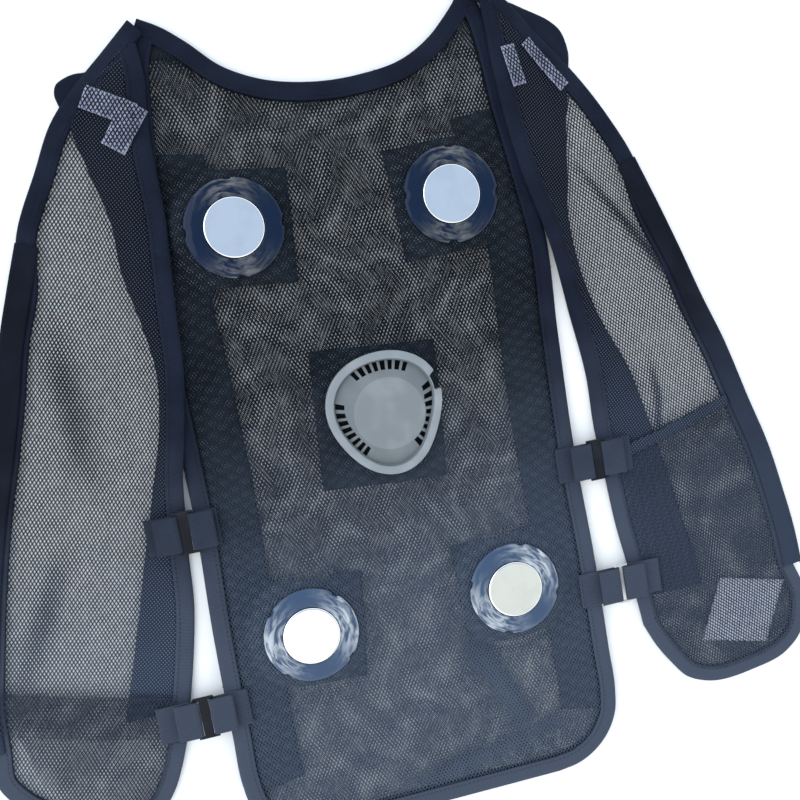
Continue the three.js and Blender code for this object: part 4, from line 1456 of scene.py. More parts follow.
@dataclass(frozen=True)
class FoldedTape:
    """The tape that is folded round an edge and sewn through.

    Attributes:
        width: Width of a leaf.
        leaf: Thickness of a leaf.
        stitches: The row of stitches near its inner edge.
    """

    width: float = 13.0
    leaf: float = 1.1
    stitches: StitchRow = StitchRow()

    def section(self, height: float) -> Points:
        """Give the folded tape's section, for the height from its foot to its top."""
        w, t, h = self.width, self.leaf, height
        bend = min(h * 0.42, 2.2)
        outer = [(w, 0.05), (bend + 1, 0.0), (bend * 0.35, bend * 0.25), (0.05, bend * 0.8)]
        upper = [(0.05, h - bend * 0.8), (bend * 0.35, h - bend * 0.25), (bend + 1, h)]
        crown = [(w * 0.45, h - 0.05), (w * 0.75, h - 0.16), (w * 0.88, h - 0.05), (w, h - 0.3)]
        inner = [(w, h - t), (t + 1.2, h - t), (t, h - t - 0.4), (t, t + 0.4), (t + 1.2, t), (w, t)]
        return np.array([*outer, *upper, *crown, *inner])

    def fold(self, path: Points, height: float, lift: Height) -> Shape:
        """Fold the tape round a path's edge.

        Args:
            path: The edge, with the cloth to its left.
            height: Height from the tape's foot to its top.
            lift: The height of its foot over a spot.

        Returns:
            The tape with its stitches, which are its second material.
        """
        tape = swept(path, self.section(height), lift)
        sunk = height - 0.12
        row = self.stitches.sew(beside(path, self.width * 0.8), lambda spots: lift(spots) + sunk)
        return tape.joined(row, shade=1)


# The assemblies of the vest


@dataclass
class BackPanel:
    """The back: two nets with bands and patches between them, and the tape round its edge."""

    form: BackForm
    finishes: Finishes
    outer_weave: NetWeave = NetWeave(across=2.74, along=2.38, opening=0.69, seed=3, uneven=0.12)
    inner_weave: NetWeave = NetWeave(across=2.84, along=2.25, opening=0.69, turn=0.8, seed=5, drift=1.1)
    tape: FoldedTape = FoldedTape()
    patch_side: float = 82.0
    fan_patch: tuple[float, float] = (94.0, 104.0)
    net_trim: float = 2.6
    creases: tuple = (
        Crease(((40, -187), (58, -228), (79, -276)), pinch=0.5, edge=9.0),
        Crease(((-34, -292), (30, -284), (101, -269)), pinch=0.4, edge=7.0),
        Crease(((-124, 274), (-108, 277), (-92, 271)), pinch=0.85, edge=4.5),
    )
    boss_room: float = 23.0
    band_foot: float = 39.5
    band_head: float = 210.3

    def build(self) -> None:
        """Build every piece of the back."""
        self.build_nets()
        self.build_patches()
        self.build_bands()
        self.build_tapes()

    def kept(self, spots: Points) -> Points:
        """Tell which spots lie inside the back's trimmed edge."""
        outline = self.form.outline
        return inside(outline, spots) & (distance_to(outline[::2], spots) > self.net_trim)

    def build_nets(self) -> None:
        """Knit the outer net on the floor and the inner net over the modules."""
        form, ply = self.form, PATTERN.ply
        closed = pinched(self.creases)
        outer = self.outer_weave.knit(self.kept, form.outline, form.flat(ply + YARN_RISE), closed)
        piece = make_piece("back_outer_net", outer, [self.finishes.back_yarn], "back_outer")

        def kept_inner(spots: Points) -> Points:
            """Leave out the inner net's holes for the modules."""
            free = self.kept(spots)
            for corner in Corner:
                free &= np.hypot(*np.moveaxis(spots - corner.centre, -1, 0)) > self.boss_room
            return free

        inner = self.inner_weave.knit(kept_inner, form.outline, form.draped(3 * ply + YARN_RISE), closed)
        piece = make_piece("back_inner_net", inner, [self.finishes.back_yarn], "back_inner")

    @staticmethod
    def yarn_share(net: Shape, area: float) -> float:
        """Give the share of a cut that its yarn covers, seen from above."""
        faces = net.faces[0]
        flat = net.points[faces][..., :2] * MM
        x, y = flat[..., 0], flat[..., 1]
        covered = np.abs((x * np.roll(y, -1, 1) - y * np.roll(x, -1, 1)).sum(1)).sum() / 2
        return float(min(covered / area, 1.0))

    def build_patches(self) -> None:
        """Lay the square patches of dense cloth under the inner net."""
        level = 2 * PATTERN.ply + PATTERN.cloth
        top = self.form.draped(level)
        for corner in Corner:
            outline = rectangle(corner.centre, self.patch_side, self.patch_side, corner.value[2])
            shape = self.quad_cloth(outline, 30, top)
            name = f"module_patch_{corner.label}"
            piece = make_piece(f"{name}_cloth", shape, [self.finishes.band], name)
        width, length = self.fan_patch
        shape = self.quad_cloth(rectangle((0, 0), width, length, -4), 30, top)
        piece = make_piece("fan_patch_cloth", shape, [self.finishes.band], "fan_patch")

    @staticmethod
    def quad_cloth(outline: Points, columns: int, top: Height) -> Shape:
        """Lay a sheet within four corners."""
        near = evenly(outline[[0, 3]], columns + 1)
        far = evenly(outline[[1, 2]], columns + 1)
        return sheet_between(near, far, columns, top, PATTERN.cloth * 0.8)

    def build_bands(self) -> None:
        """Lay the bands of dense cloth along the sides, under the inner net."""
        edge = self.form.right_edge
        part = edge[(edge[:, 1] > PATTERN.hem_y + self.band_foot) & (edge[:, 1] < self.band_head)]
        near = evenly(beside(part, PATTERN.binding_width + 0.3), 120)
        far = evenly(beside(part, PATTERN.band_width), 120)
        top = self.form.draped(2 * PATTERN.ply + PATTERN.cloth - 0.05)
        for side in Side:
            shape = sheet_between(near, far, 12, top, PATTERN.cloth * 0.6).on_side(side.value)
            name = f"back_band_{side.label}"
            piece = make_piece(f"{name}_cloth", shape, [self.finishes.band], name)

    def build_tapes(self) -> None:
        """Fold the tapes round the neckline and round the sides and hem."""
        height = 4 * PATTERN.ply + PATTERN.cloth
        edge = self.form.edge_path
        on_floor = self.form.flat(0.0)
        for name, path in (("neck_binding", self.form.neck_path), ("back_binding", edge[4:-4])):
            shape = self.tape.fold(path, height, on_floor)
            materials = [self.finishes.binding, self.finishes.thread]
            piece = make_piece(f"{name}_tape", shape, materials, name)


@dataclass
class CoolingModule:
    """One cooling module: its housing, the clear ring that clamps the cloth and the mirror plate."""

    corner: Corner
    finishes: Finishes
    notch_turn: float
    radius: float = 35.0
    bore: float = 21.4
    low: float = 14.5
    height: float = 3.0
    lip: float = 11.0
    notch_width: float = 5.0
    notch_depth: float = 1.6
    plate_radius: float = 21.0
    plate_low: float = 15.7
    plate_height: float = 2.4
    sides: int = 144

    def build(self) -> None:
        """Dress the housing and build the ring and the plate."""
        housing = bpy.data.objects[f"module_housing_{self.corner.label}"]
        dress_node(housing, self.finishes.black)
        self.build_ring()
        self.build_plate()

    def turned(self, profile: Points, cut: Points | None = None) -> Shape:
        """Turn a closed profile round the module's axis.

        Args:
            profile: Pairs of radius and height.
            cut: How far the outside is cut in at each turn, or nothing.

        Returns:
            The turned ring, with its own place round the axis as its run.
        """
        turns = np.arange(self.sides) * math.tau / self.sides
        radii = np.repeat(profile[None, :, 0], self.sides, axis=0)
        if cut is not None:
            outside = profile[:, 0] > self.radius - 3
            radii = np.where(outside[None], np.minimum(radii, self.radius - cut[:, None]), radii)
        x = radii * np.cos(turns)[:, None]
        y = radii * np.sin(turns)[:, None]
        z = np.repeat(profile[None, :, 1], self.sides, axis=0)
        local = np.dstack([x, y, z]).reshape(-1, 3)
        count = len(profile)
        faces = lattice_faces(self.sides + 1, count, around=True)[:, ::-1] % (self.sides * count)
        run = local * [1 / self.radius, 1 / self.radius, 0]
        points = local + [*self.corner.centre, 0]
        return Shape(points, [faces], run)

    def build_ring(self) -> None:
        """Build the clear ring with its four notches."""
        low, top, r, b = self.low, self.low + self.height, self.radius, self.bore
        profile = np.array(
            [
                (b, low),
                (r - 0.5, low),
                (r, low + 0.5),
                (r, low + 1.0),
                (r - 0.5, low + 1.45),
                (r - self.lip * 0.2, low + self.height * 0.72),
                (r - self.lip * 0.6, low + self.height * 0.93),
                (r - self.lip, top - 0.08),
                (b + 0.9, top),
                (b + 0.2, top - 0.15),
                (b, top - 0.6),
            ]
        )
        turns = np.degrees(np.arange(self.sides) * math.tau / self.sides)
        off = np.abs((turns - self.notch_turn + 45) % 90 - 45) * math.radians(1) * r
        cut = self.notch_depth * np.clip((self.notch_width / 2 + 0.8 - off) / 0.8, 0, 1)
        shape = self.turned(profile, cut)
        name = f"module_ring_{self.corner.label}"
        make_piece(f"{name}_clear", shape, [self.finishes.ring(self.corner)], name)

    def build_plate(self) -> None:
        """Build the mirror plate with a soft rim."""
        r, low, top = self.plate_radius, self.plate_low, self.plate_low + self.plate_height
        ring = [(r - 0.3, low), (r, low + 0.3), (r, top - 0.5), (r - 0.15, top - 0.15), (r - 0.5, top)]
        inner = [(r * share, top) for share in (0.93, 0.6, 0.25)]
        profile = np.array([(r * 0.25, low), *ring, *inner])
        shape = self.turned(profile)
        count = len(profile)
        first = np.arange(self.sides) * count
        upper = first + count - 1
        middles = np.array([[*self.corner.centre, low], [*self.corner.centre, top]])
        shift = len(shape.points)
        caps = np.vstack(
            [
                np.stack([np.roll(first, -1), first, np.full(self.sides, shift)], axis=1),
                np.stack([upper, np.roll(upper, -1), np.full(self.sides, shift + 1)], axis=1),
            ]
        )
        keep = np.ones(len(shape.faces[0]), bool)
        keep[count - 1 :: count] = False
        shape = Shape(np.vstack([shape.points, middles]), [shape.faces[0][keep], caps])
        name = f"cold_plate_{self.corner.label}"
        make_piece(f"{name}_mirror", shape, [self.finishes.mirror], name)


def dress_node(node: bpy.types.Object, material: bpy.types.Material) -> None:
    """Give a solid that stays its material.

    Args:
        node: The solid's object.
        material: The material.
    """
    node.data.materials.clear()
    node.data.materials.append(material)
    log.info("%s: dressed as %s", node.name, material.name)


@dataclass
class FanUnit:
    """The fan: its housing under the net, and the moulded cover with slots round a raised dish.

    Attributes:
        finishes: The materials.
        radius: The cover's mean radius.
        waves: How its outline leaves a circle: waves round it, their size and their turn in degrees.
        low: The height of its foot.
        height: Its own height.
        rim: Width of its raised rim.
        floor: Height of the recess inside the rim.
        dish_radius: Radius of the raised dish.
        dish_height: Height of the dish.
        slot_margin: Distance from the rim to a slot.
        slot_length: Length of a slot.
        slot_width: Width of a slot.
        slot_pitch: Distance between two slots of a group.
        slot_groups: The direction of each group's middle, in degrees.
        slots: How many slots a group has.
        slot_depth: How deep a slot is sunk.
        notch_turn: The direction of the notch in the rim, in degrees.
        notch_half: Half the notch's width, in degrees.
        notch_cut: How much of the rim's width the notch takes.
        notch_drop: How far the rim is lowered there.
        recess_rings: The rings of faces in the recess.
        slot_rings: The rings of faces that slots are sunk into.
        rim_rings: The rings of faces on the rim.
        sides: How many faces go round.
    """

    finishes: Finishes
    radius: float = 44.2
    waves: tuple = ((1, 3.5, 136.0), (2, 1.6, 83.5), (3, 2.1, 34.5))
    low: float = 9.8
    height: float = 6.0
    rim: float = 6.0
    floor: float = 2.2
    dish_radius: float = 26.8
    dish_height: float = 4.6
    slot_margin: float = 1.2
    slot_length: float = 6.8
    slot_width: float = 3.3
    slot_pitch: float = 5.4
    slot_groups: tuple = (93.0, 196.0, -14.0)
    slots: int = 8
    slot_depth: float = 2.1
    notch_turn: float = 25.0
    notch_half: float = 8.6
    notch_cut: float = 0.84
    notch_drop: float = 1.2
    recess_rings: range = range(4, 11)
    slot_rings: range = range(5, 8)
    rim_rings: range = range(11, 17)
    sides: int = 432

    def build(self) -> None:
        """Dress the housing and build the cover."""
        dress_node(bpy.data.objects["fan_housing"], self.finishes.black)
        self.build_cover()

    def reach(self, turns: Points) -> Points:
        """Give the cover's radius at turns: a circle that is shifted, oval and three-cornered."""
        waves = [size * np.cos(count * (turns - math.radians(turn))) for count, size, turn in self.waves]
        return self.radius + sum(waves)

    def stations(self, turns: Points) -> tuple[Points, Points]:
        """Work out the cover's rings from the middle outward and down.

        Args:
            turns: The directions round the fan, in radians.

        Returns:
            The radius and the height of each ring at each turn.
        """
        low, top, floor = self.low, self.low + self.height, self.low + self.floor
        dish, edge = self.low + self.dish_height, self.dish_radius
        reach = self.reach(turns)
        # Each ring of the dish has its radius and how far it lies below the top
        fixed = [(5.0, 0.0), (15.0, 0.0), (edge - 2.1, 0.0), (edge - 0.9, 0.05), (edge - 0.2, 0.25)]
        radii = [np.full_like(turns, r) for r, _ in fixed]
        heights = [np.full_like(turns, dish - drop) for _, drop in fixed]
        outer_end = reach - self.rim - self.slot_margin
        inner_end = np.maximum(outer_end - self.slot_length, edge + 0.4)
        for share in (0.0, 0.33, 0.67, 1.0):
            radius = inner_end + (outer_end - inner_end) * share
            slope = (radius - edge) / (outer_end - edge)
            radii.append(radius)
            heights.append(dish - 0.4 - (dish - 0.6 - floor) * slope)
        gap = np.abs((np.degrees(turns) - self.notch_turn + 180) % 360 - 180)
        open_share = np.clip((self.notch_half + 0.8 - gap) / 1.6, 0, 1)
        thin = 1 - self.notch_cut * eased(open_share)
        # Each ring of the rim has its distance outward, its height and its share of the notch's drop
        outer = [
            (-0.7, floor, 0),
            (-0.3, floor + 0.3, 0),
            (0.0, top - 0.7, 0.5),
            (0.25, top - 0.2, 0.7),
            (0.9, top - 0.02, 0.9),
            (1.6, top, 1.0),
            (self.rim - 1.2, top, 1.0),
            (self.rim - 0.45, top - 0.2, 1.0),
            (self.rim - 0.05, top - 0.7, 0.9),
            (self.rim, low + 1.2, 0),
            (self.rim - 0.2, low, 0),
        ]
        radii += [reach - self.rim + np.where(out > 0, out * thin, out) for out, _, _ in outer]
        heights += [z - self.notch_drop * (1 - thin) * share for _, z, share in outer]
        return np.array(radii), np.array(heights)

    def build_cover(self) -> None:
        """Build the cover, sink its slots, and give its raised rim a lighter grey as painted light and its
        recess a darker grey as painted shade.
        """
        turns = np.arange(self.sides) * math.tau / self.sides
        radii, heights = self.stations(turns)
        rings = len(radii)
        points = np.dstack([radii * np.cos(turns), radii * np.sin(turns), heights])
        points = (points + [*FAN_CENTRE, 0]).reshape(-1, 3)
        faces = lattice_faces(rings, self.sides, around=True)[:, ::-1]
        mesh = bmesh.new()
        made = [mesh.verts.new(p) for p in points]
        middle = mesh.verts.new((*FAN_CENTRE, self.low + self.dish_height))
        under = mesh.verts.new((*FAN_CENTRE, self.low))
        sunk = []
        for ring in range(rings - 1):
            for cell in range(self.sides):
                face = mesh.faces.new([made[i] for i in faces[ring * self.sides + cell]])
                # Rim faces take the lighter grey of painted light, recess faces the darker grey of painted
                # shade.
                face.material_index = 1 if ring in self.rim_rings else 3 if ring in self.recess_rings else 0
                if ring in self.slot_rings and self.in_slot((cell + 0.5) * 360 / self.sides):
                    sunk.append(face)
        last = (rings - 1) * self.sides
        for cell in range(self.sides):
            after = (cell + 1) % self.sides
            mesh.faces.new([middle, made[cell], made[after]])
            mesh.faces.new([under, made[last + after], made[last + cell]])
        self.sink(mesh, sunk)
        mesh.verts.index_update()
        shape = self.read(mesh)
        mesh.free()
        finishes = self.finishes
        materials = [finishes.grey, finishes.grey_rim_lit, finishes.slot_shade, finishes.grey_recess_shade]
        make_piece("fan_cover_moulding", shape, materials, "fan_cover")

    def in_slot(self, degrees: float) -> bool:
        """Tell whether a direction from the fan's middle runs through a slot."""
        inset = self.rim + self.slot_margin + self.slot_length / 2
        for group in self.slot_groups:
            radius = float(self.reach(math.radians(group))) - inset
            off = math.radians((degrees - group + 180) % 360 - 180) * radius
            place = off / self.slot_pitch + self.slots / 2
            if 0 <= place < self.slots and abs(place % 1 - 0.5) < self.slot_width / self.slot_pitch / 2:
                return True
        return False

    def sink(self, mesh: bmesh.types.BMesh, slots: list) -> None:
        """Sink the slots' faces and paint their floors and the walls round them near black, as painted shade
        deep in the vents.
        """
        region = bmesh.ops.extrude_face_region(mesh, geom=slots)["geom"]
        bmesh.ops.delete(mesh, geom=[f for f in slots if f.is_valid], context="FACES_ONLY")
        for item in region:
            if isinstance(item, bmesh.types.BMVert):
                item.co.z -= self.slot_depth
            # Painted shade: the sunk floors and the walls round them take the near-black slot material.
            if isinstance(item, bmesh.types.BMFace):
                item.material_index = 2
                for wall in {f for edge in item.edges for f in edge.link_faces}:
                    wall.material_index = 2

    @staticmethod
    def read(mesh: bmesh.types.BMesh) -> Shape:
        """Read a mesh in the making into a shape."""
        points = np.array([v.co for v in mesh.verts])
        faces, shades = [], []
        for corners in (3, 4):
            chosen = [f for f in mesh.faces if len(f.verts) == corners]
            if chosen:
                faces.append(np.array([[v.index for v in f.verts] for f in chosen]))
                shades.append(np.array([f.material_index for f in chosen]))
        return Shape(points, faces, None, shades, sharp=38.0)


@dataclass
class FrontPanel:
    """One front: its net, facing, tapes, pocket and shoulder patch."""

    form: FrontForm
    finishes: Finishes
    weave: NetWeave
    pocket_down: tuple[float, float]
    hem: float
    pale_strips: Sequence
    tab: tuple
    pocket_opening: float = 0.64
    pocket_turn: float = 3.0
    pocket_gap: float = 0.0
    gap_from: float = 0.82
    gap_run: float = 0.06
    net_hem: bool = False
    net_trim: float = 4.2
    tape: FoldedTape = FoldedTape()

    def build(self) -> None:
        """Build every piece of the front."""
        self.build_net()
        self.build_facing()
        self.build_bindings()
        self.build_tape()
        self.build_pocket()
        self.build_shoulder_patch()

    @property
    def label(self) -> str:
        """The side's word."""
        return self.form.side.label

    def make(self, node: str, ending: str, shape: Shape, materials: Sequence) -> bpy.types.Object:
        """Make a piece of this front from a shape worked out on the right.

        Args:
            node: The solid's name without its side.
            ending: The word that the piece's name adds.
            shape: The shape.
            materials: Its materials.

        Returns:
            The piece.
        """
        name = f"{node}_{self.label}"
        return make_piece(f"{name}_{ending}", shape.on_side(self.form.side.value), materials, name)

    def build_net(self) -> None:
        """Knit the front's net."""
        form = self.form
        outline = form.outline

        def kept(spots: Points) -> Points:
            """Tell which spots lie inside the trimmed edge."""
            return inside(outline, spots) & (distance_to(outline[::2], spots) > self.net_trim)

        shape = self.weave.knit(kept, outline, form.over(PATTERN.ply + YARN_RISE), pinched(form.creases))
        piece = self.make("front_panel", "net", shape, [self.finishes.front_yarn])
        area = area_of(outline)
        share = BackPanel.yarn_share(shape, area)

    def build_facing(self) -> None:
        """Lay the dense facing beside the armhole."""
        form, rows = self.form, self.form.rows[1 : self.form.turn]
        margin = PATTERN.binding_width + 0.3
        near, far = [], []
        for row in rows:
            reach = min(row.facing * PATTERN.facing_width, form.width(row) - margin)
            start = min(margin, form.width(row) / 2 - 0.5)
            near.append(form.place(row, start))
            far.append(form.place(row, max(reach, start + 0.6)))
        near, far = evenly(smooth(near), 170), evenly(smooth(far), 170)
        top = form.over(2 * PATTERN.ply + PATTERN.cloth - 0.1)
        shape = sheet_between(near, far, 16, top, PATTERN.cloth * 0.7)
        piece = self.make("front_facing", "cloth", shape, [self.finishes.facing])
        f"front_panel_{self.label}_net"

    def build_bindings(self) -> None:
        """Fold the tapes round the front's edge and round the armhole."""
        form = self.form
        height = 2 * PATTERN.ply + PATTERN.cloth
        materials = [self.finishes.binding, self.finishes.thread]
        for node, path in (("front_binding", form.edge_path), ("armhole_binding", form.arm_path)):
            shape = self.tape.fold(path, height, form.over(0.0))
            piece = self.make(node, "tape", shape, materials)

    def build_tape(self) -> None:
        """Lay the fastening tape along the front's outer edge."""
        form = self.form
        first = next(i for i, row in enumerate(form.rows) if row.tape == 1) - 1
        rows = [form.rows[first]] + [row for row in form.rows if row.tape == 1]
        outer = smooth([form.place(row, row.width * PATTERN.front_width) for row in rows][::-1])
        inner = beside(outer, PATTERN.tape_width)
        top = form.over(3 * PATTERN.ply + PATTERN.cloth - 0.05)
        shape = sheet_between(outer, inner, 10, top, PATTERN.cloth)
        path = beside(outer, 2.0)
        shape = shape.joined(self.tape.stitches.sew(path, lambda spots: top(spots) - 0.1), shade=1)
        materials = [self.finishes.front_tape, self.finishes.thread]
        piece = self.make("front_tape", "strip", shape, materials)
        f"front_binding_{self.label}_tape"

    def build_pocket(self) -> None:
        """Knit the pocket's net and lay its hem."""
        form = self.form
        inset = PATTERN.binding_width - 0.8
        side_down, tape_down = self.pocket_down
        side_rows = [form.row_at(side_down)] + [row for row in form.rows if row.down > side_down]
        tape_rows = [form.row_at(tape_down)] + [row for row in form.rows if row.down > tape_down]
        side_line = smooth([form.place(row, inset) for row in side_rows])
        shares = [min(max((row.down - self.gap_from) / self.gap_run, 0), 1) for row in tape_rows]
        gaps = [inset + self.pocket_gap * share for share in shares]
        outs = [max(form.width(row) - gap, 1) for row, gap in zip(tape_rows, gaps)]
        outer_line = smooth([form.place(row, out) for row, out in zip(tape_rows, outs)])
        outline = np.vstack([side_line, outer_line[::-1]])
        border = form.edge_path[::2]

        def kept(spots: Points) -> Points:
            """Tell which spots lie within the pocket."""
            return inside(outline, spots) & (distance_to(border, spots) > inset)

        top = form.over(3 * PATTERN.ply + YARN_RISE)
        turn = self.weave.turn + self.pocket_turn
        weave = replace(self.weave, opening=self.pocket_opening, turn=turn, seed=self.weave.seed + 9)
        shape = weave.knit(kept, outline, top)
        piece = self.make("pocket", "net", shape, [self.finishes.front_yarn])
        area = area_of(outline)
        share = BackPanel.yarn_share(shape, area)
        f"front_panel_{self.label}_net"
        self.build_pocket_hem(outer_line[0], side_line[0])

    def build_pocket_hem(self, outer: Points, inner: Points) -> None:
        """Lay the hem along the pocket's upper edge.

        Args:
            outer: The edge's end at the tape.
            inner: The edge's end at the side.
        """
        path = smooth([outer, (outer + inner) / 2 + [0, -1.5], inner])
        below = beside(path, self.hem)
        top = self.form.over(4 * PATTERN.ply + PATTERN.cloth - 0.1)
        rows = self.tape.stitches.sew(beside(path, self.hem - 1.2), top)
        length, pocket = run_of(path)[-1], [f"pocket_{self.label}_net"]
        if not self.net_hem:
            shape = sheet_between(path, below, 5, top, PATTERN.cloth * 0.7).joined(rows, shade=1)
            materials = [self.finishes.facing, self.finishes.thread]
            piece = self.make("pocket_hem", "cloth", shape, materials)
            return
        outline = np.vstack([path, below[::-1]])
        weave = NetWeave(2.9, 2.4, 0.79, turn=self.weave.turn - 2, seed=self.weave.seed + 5)
        net = weave.knit(lambda spots: inside(outline, spots), outline, lambda spots: top(spots) - 0.7)
        share = BackPanel.yarn_share(net, area_of(outline))
        rows = rows.joined(self.tape.stitches.sew(beside(path, 1.2), top))
        materials = [self.finishes.front_yarn, self.finishes.thread]
        piece = self.make("pocket_hem", "net", net.joined(rows, shade=1), materials)

    def build_shoulder_patch(self) -> None:
        """Lay the pale strips of the shoulder patch with the net over them, and the tab beside it."""
        top = self.form.over(3 * PATTERN.ply + 0.5)
        shape, length, width = None, 0.0, 0.0
        outlines = []
        for start, end, wide in self.pale_strips:
            line = evenly(np.array([start, end], float), 16)
            near, far = beside(line, wide / 2), beside(line, -wide / 2)
            strip = sheet_between(near, far, 10, top, PATTERN.cloth * 0.6)
            shape = shape.joined(strip) if shape else strip
            outlines.append(np.vstack([near, far[::-1]]))
            length += run_of(line)[-1]
            width = max(width, wide)
        area = sum(area_of(outline) for outline in outlines)
        piece = self.make("shoulder_patch", "cloth", shape, [self.finishes.pale_patch])
        f"front_facing_{self.label}_cloth"

        def kept(spots: Points) -> Points:
            """Tell which spots lie over a pale strip."""
            return np.any([inside(outline, spots) for outline in outlines], axis=0)

        weave = NetWeave(2.95, 2.35, 0.66, turn=self.weave.turn, seed=self.weave.seed + 2)
        net = weave.knit(kept, np.vstack(outlines), lambda spots: top(spots) + 0.25)
        piece = self.make("shoulder_patch", "net", net, [self.finishes.front_yarn])
        share = BackPanel.yarn_share(net, area)
        f"shoulder_patch_{self.label}_cloth"
        near, far = [evenly(smooth(line), 40) for line in self.tab]
        shape = sheet_between(near, far, 10, self.form.over(1.3), PATTERN.cloth)
        piece = self.make("shoulder_patch", "tab", shape, [self.finishes.binding])
        area, length = area_of(np.vstack([near, far[::-1]])), run_of(far)[-1]


@dataclass
class SewnLabel:
    """The pale, bare label inside the right front's pocket."""

    form: FrontForm
    finishes: Finishes
    across: float = 0.6
    down: float = 0.908
    turn: float = -14.5
    lean: float = -10.0
    size: tuple[float, float] = (57.0, 53.0)

    def build(self) -> None:
        """Lay the label on the front's net."""
        row = self.form.row_at(self.down)
        centre = self.form.place(row, self.across * row.width * PATTERN.front_width)
        outline = rectangle(centre, *self.size, self.turn, self.lean)
        top = self.form.over(2 * PATTERN.ply + PATTERN.cloth - 0.2)
        shape = BackPanel.quad_cloth(outline, 14, top)
        piece = make_piece("label_patch_cloth", shape, [self.finishes.label], "label_patch")


@dataclass
class SideStrap:
    """A side strap: a tab on the back, a buckle and a strap on the front.

    Attributes:
        name: The strap's words in the names of nodes.
        side: The side it lies on.
        up: Its place up the back, as a share of the length.
        buckle: How far out its first bar is, in widths of the strap.
        slider: Whether its buckle has a middle bar.
        form: The front that it joins.
        pocket_side_down: Where the front's pocket starts at the side, as a share of its length.
        finishes: The materials.
        width: Its width.
        webbing: Its thickness.
        tab_seat: How far the tab lies over the back.
        strap_seat: How far the strap lies over the front.
        fold_back: Length of the upper leaf that is folded round a bar.
        bar: Thickness of a bar.
        slider_window: Width of an opening in a buckle with a middle bar.
        loop_window: Width of the opening in a plain loop.
        middle_bar: Width of the middle bar.
        ribs: How many ribs run along the webbing.
        rib_height: How far a rib stands out.
    """

    name: str
    side: Side
    up: float
    buckle: float
    slider: bool
    form: FrontForm
    pocket_side_down: float
    finishes: Finishes
    width: float = 27.0
    webbing: float = 1.2
    tab_seat: float = 17.0
    strap_seat: float = 22.0
    fold_back: float = 15.0
    bar: float = 2.0
    slider_window: float = 4.6
    loop_window: float = 6.5
    middle_bar: float = 7.0
    ribs: int = 34
    rib_height: float = 0.14

    @property
    def bar_room(self) -> float:
        """The distance from a bar's middle to the webbing round it."""
        return self.bar * math.sqrt(0.5) + PATTERN.clearance

    def build(self) -> None:
        """Build the tab, the buckle and the strap."""
        y = PATTERN.hem_y + self.up * PATTERN.back_length
        z = PATTERN.back_top + self.bar_room + self.webbing
        window = self.slider_window if self.slider else self.loop_window
        step = 2 * (window + self.bar) if self.slider else window + self.bar
        edge = float(self.form.back.edge_at(y))
        tab_bar = edge + self.buckle * self.width
        strap_bar = tab_bar + step
        self.build_buckle((tab_bar + strap_bar) / 2, y, z, window)
        self.build_tab(tab_bar - edge + self.tab_seat, tab_bar, y, z)
        down = (PATTERN.tip_y - y) / PATTERN.front_length
        front_edge = self.form.place(self.form.row_at(down), 0)[0]
        length = max(front_edge - strap_bar, 0) + self.strap_seat
        pocket_top = PATTERN.tip_y - self.pocket_side_down * PATTERN.front_length
        over_hem = y - self.width / 2 < pocket_top
        seat = 5 * PATTERN.ply if over_hem else 3 * PATTERN.ply
        drop = PATTERN.back_top - seat
        tilt = math.asin(min(max(drop / length, 0), 0.5))
        self.build_strap(length, strap_bar, y, z, tilt)

    def looped(self, length: float) -> Shape:
        """Fold a webbing end round a bar at the origin, running off to the left.

        Args:
            length: How long the lower leaf is.

        Returns:
            The webbing, ribbed along its length.
        """
        middle = self.bar_room + self.webbing / 2
        lower = [(x, -middle) for x in np.linspace(-length, -0.6, 14)]
        turns = np.linspace(-math.pi / 2, math.pi / 2, 11)
        bend = [(middle * math.cos(turn), middle * math.sin(turn)) for turn in turns]
        upper = [(x, middle) for x in np.linspace(-1.2, -self.fold_back, 9)]
        line = np.array([*lower, *bend, *upper])
        out = -leftward(line)
        rows, columns = len(line), self.ribs + 1
        across = np.linspace(-self.width / 2, self.width / 2, columns)
        half = self.webbing / 2 - self.rib_height + np.arange(columns) % 2 * self.rib_height
        leaves = []
        for sign in (1, -1):
            sideways = line[:, None] + out[:, None] * sign * half[None, :, None]
            leaf = np.dstack([sideways[..., 0], np.repeat(across[None], rows, 0), sideways[..., 1]])
            leaves.append(leaf.reshape(-1, 3))
        count = rows * columns
        grid = lattice_faces(rows, columns)
        run = np.stack([np.repeat(run_of(line), columns), np.tile(across, rows), np.zeros(count)], axis=1)
        faces = [np.vstack([grid, (grid + count)[:, ::-1], rim_faces(rows, columns)])]
        return Shape(np.vstack(leaves), faces, np.vstack([run, run]))

    def build_tab(self, length: float, x: float, y: float, z: float) -> None:
        """Build the back's tab, folded round the buckle's near bar."""
        shape = self.looped(length)
        shape.points = shape.points + [x, y, z]
        row = StitchRow(2.6, 1.8, 0.22)
        path = np.array([(x - length + 2, y - 11), (x - length + 2, y + 11)])
        seat = z - self.bar_room
        shape = shape.joined(row.sew(path, lambda spots: np.full(spots.shape[:-1], seat)), shade=1)
        name = f"back_tab_{self.name}"
        shape = shape.on_side(self.side.value)
        materials = [self.finishes.webbing, self.finishes.thread]
        piece = make_piece(f"{name}_web", shape, materials, name)

    def build_strap(self, length: float, x: float, y: float, z: float, tilt: float) -> None:
        """Build the front's strap, folded round the buckle's far bar and leaning down to its seat."""
        shape = self.looped(length)
        points = shape.points * [-1, 1, 1]
        turned = points.copy()
        turned[:, 0] = points[:, 0] * math.cos(tilt) + points[:, 2] * math.sin(tilt)
        turned[:, 2] = -points[:, 0] * math.sin(tilt) + points[:, 2] * math.cos(tilt)
        shape = Shape(turned + [x, y, z], [f[:, ::-1] for f in shape.faces], shape.run)
        name = f"front_strap_{self.name}"
        shape = shape.on_side(self.side.value)
        piece = make_piece(f"{name}_web", shape, [self.finishes.webbing], name)
        f"armhole_binding_{self.side.label}_tape"

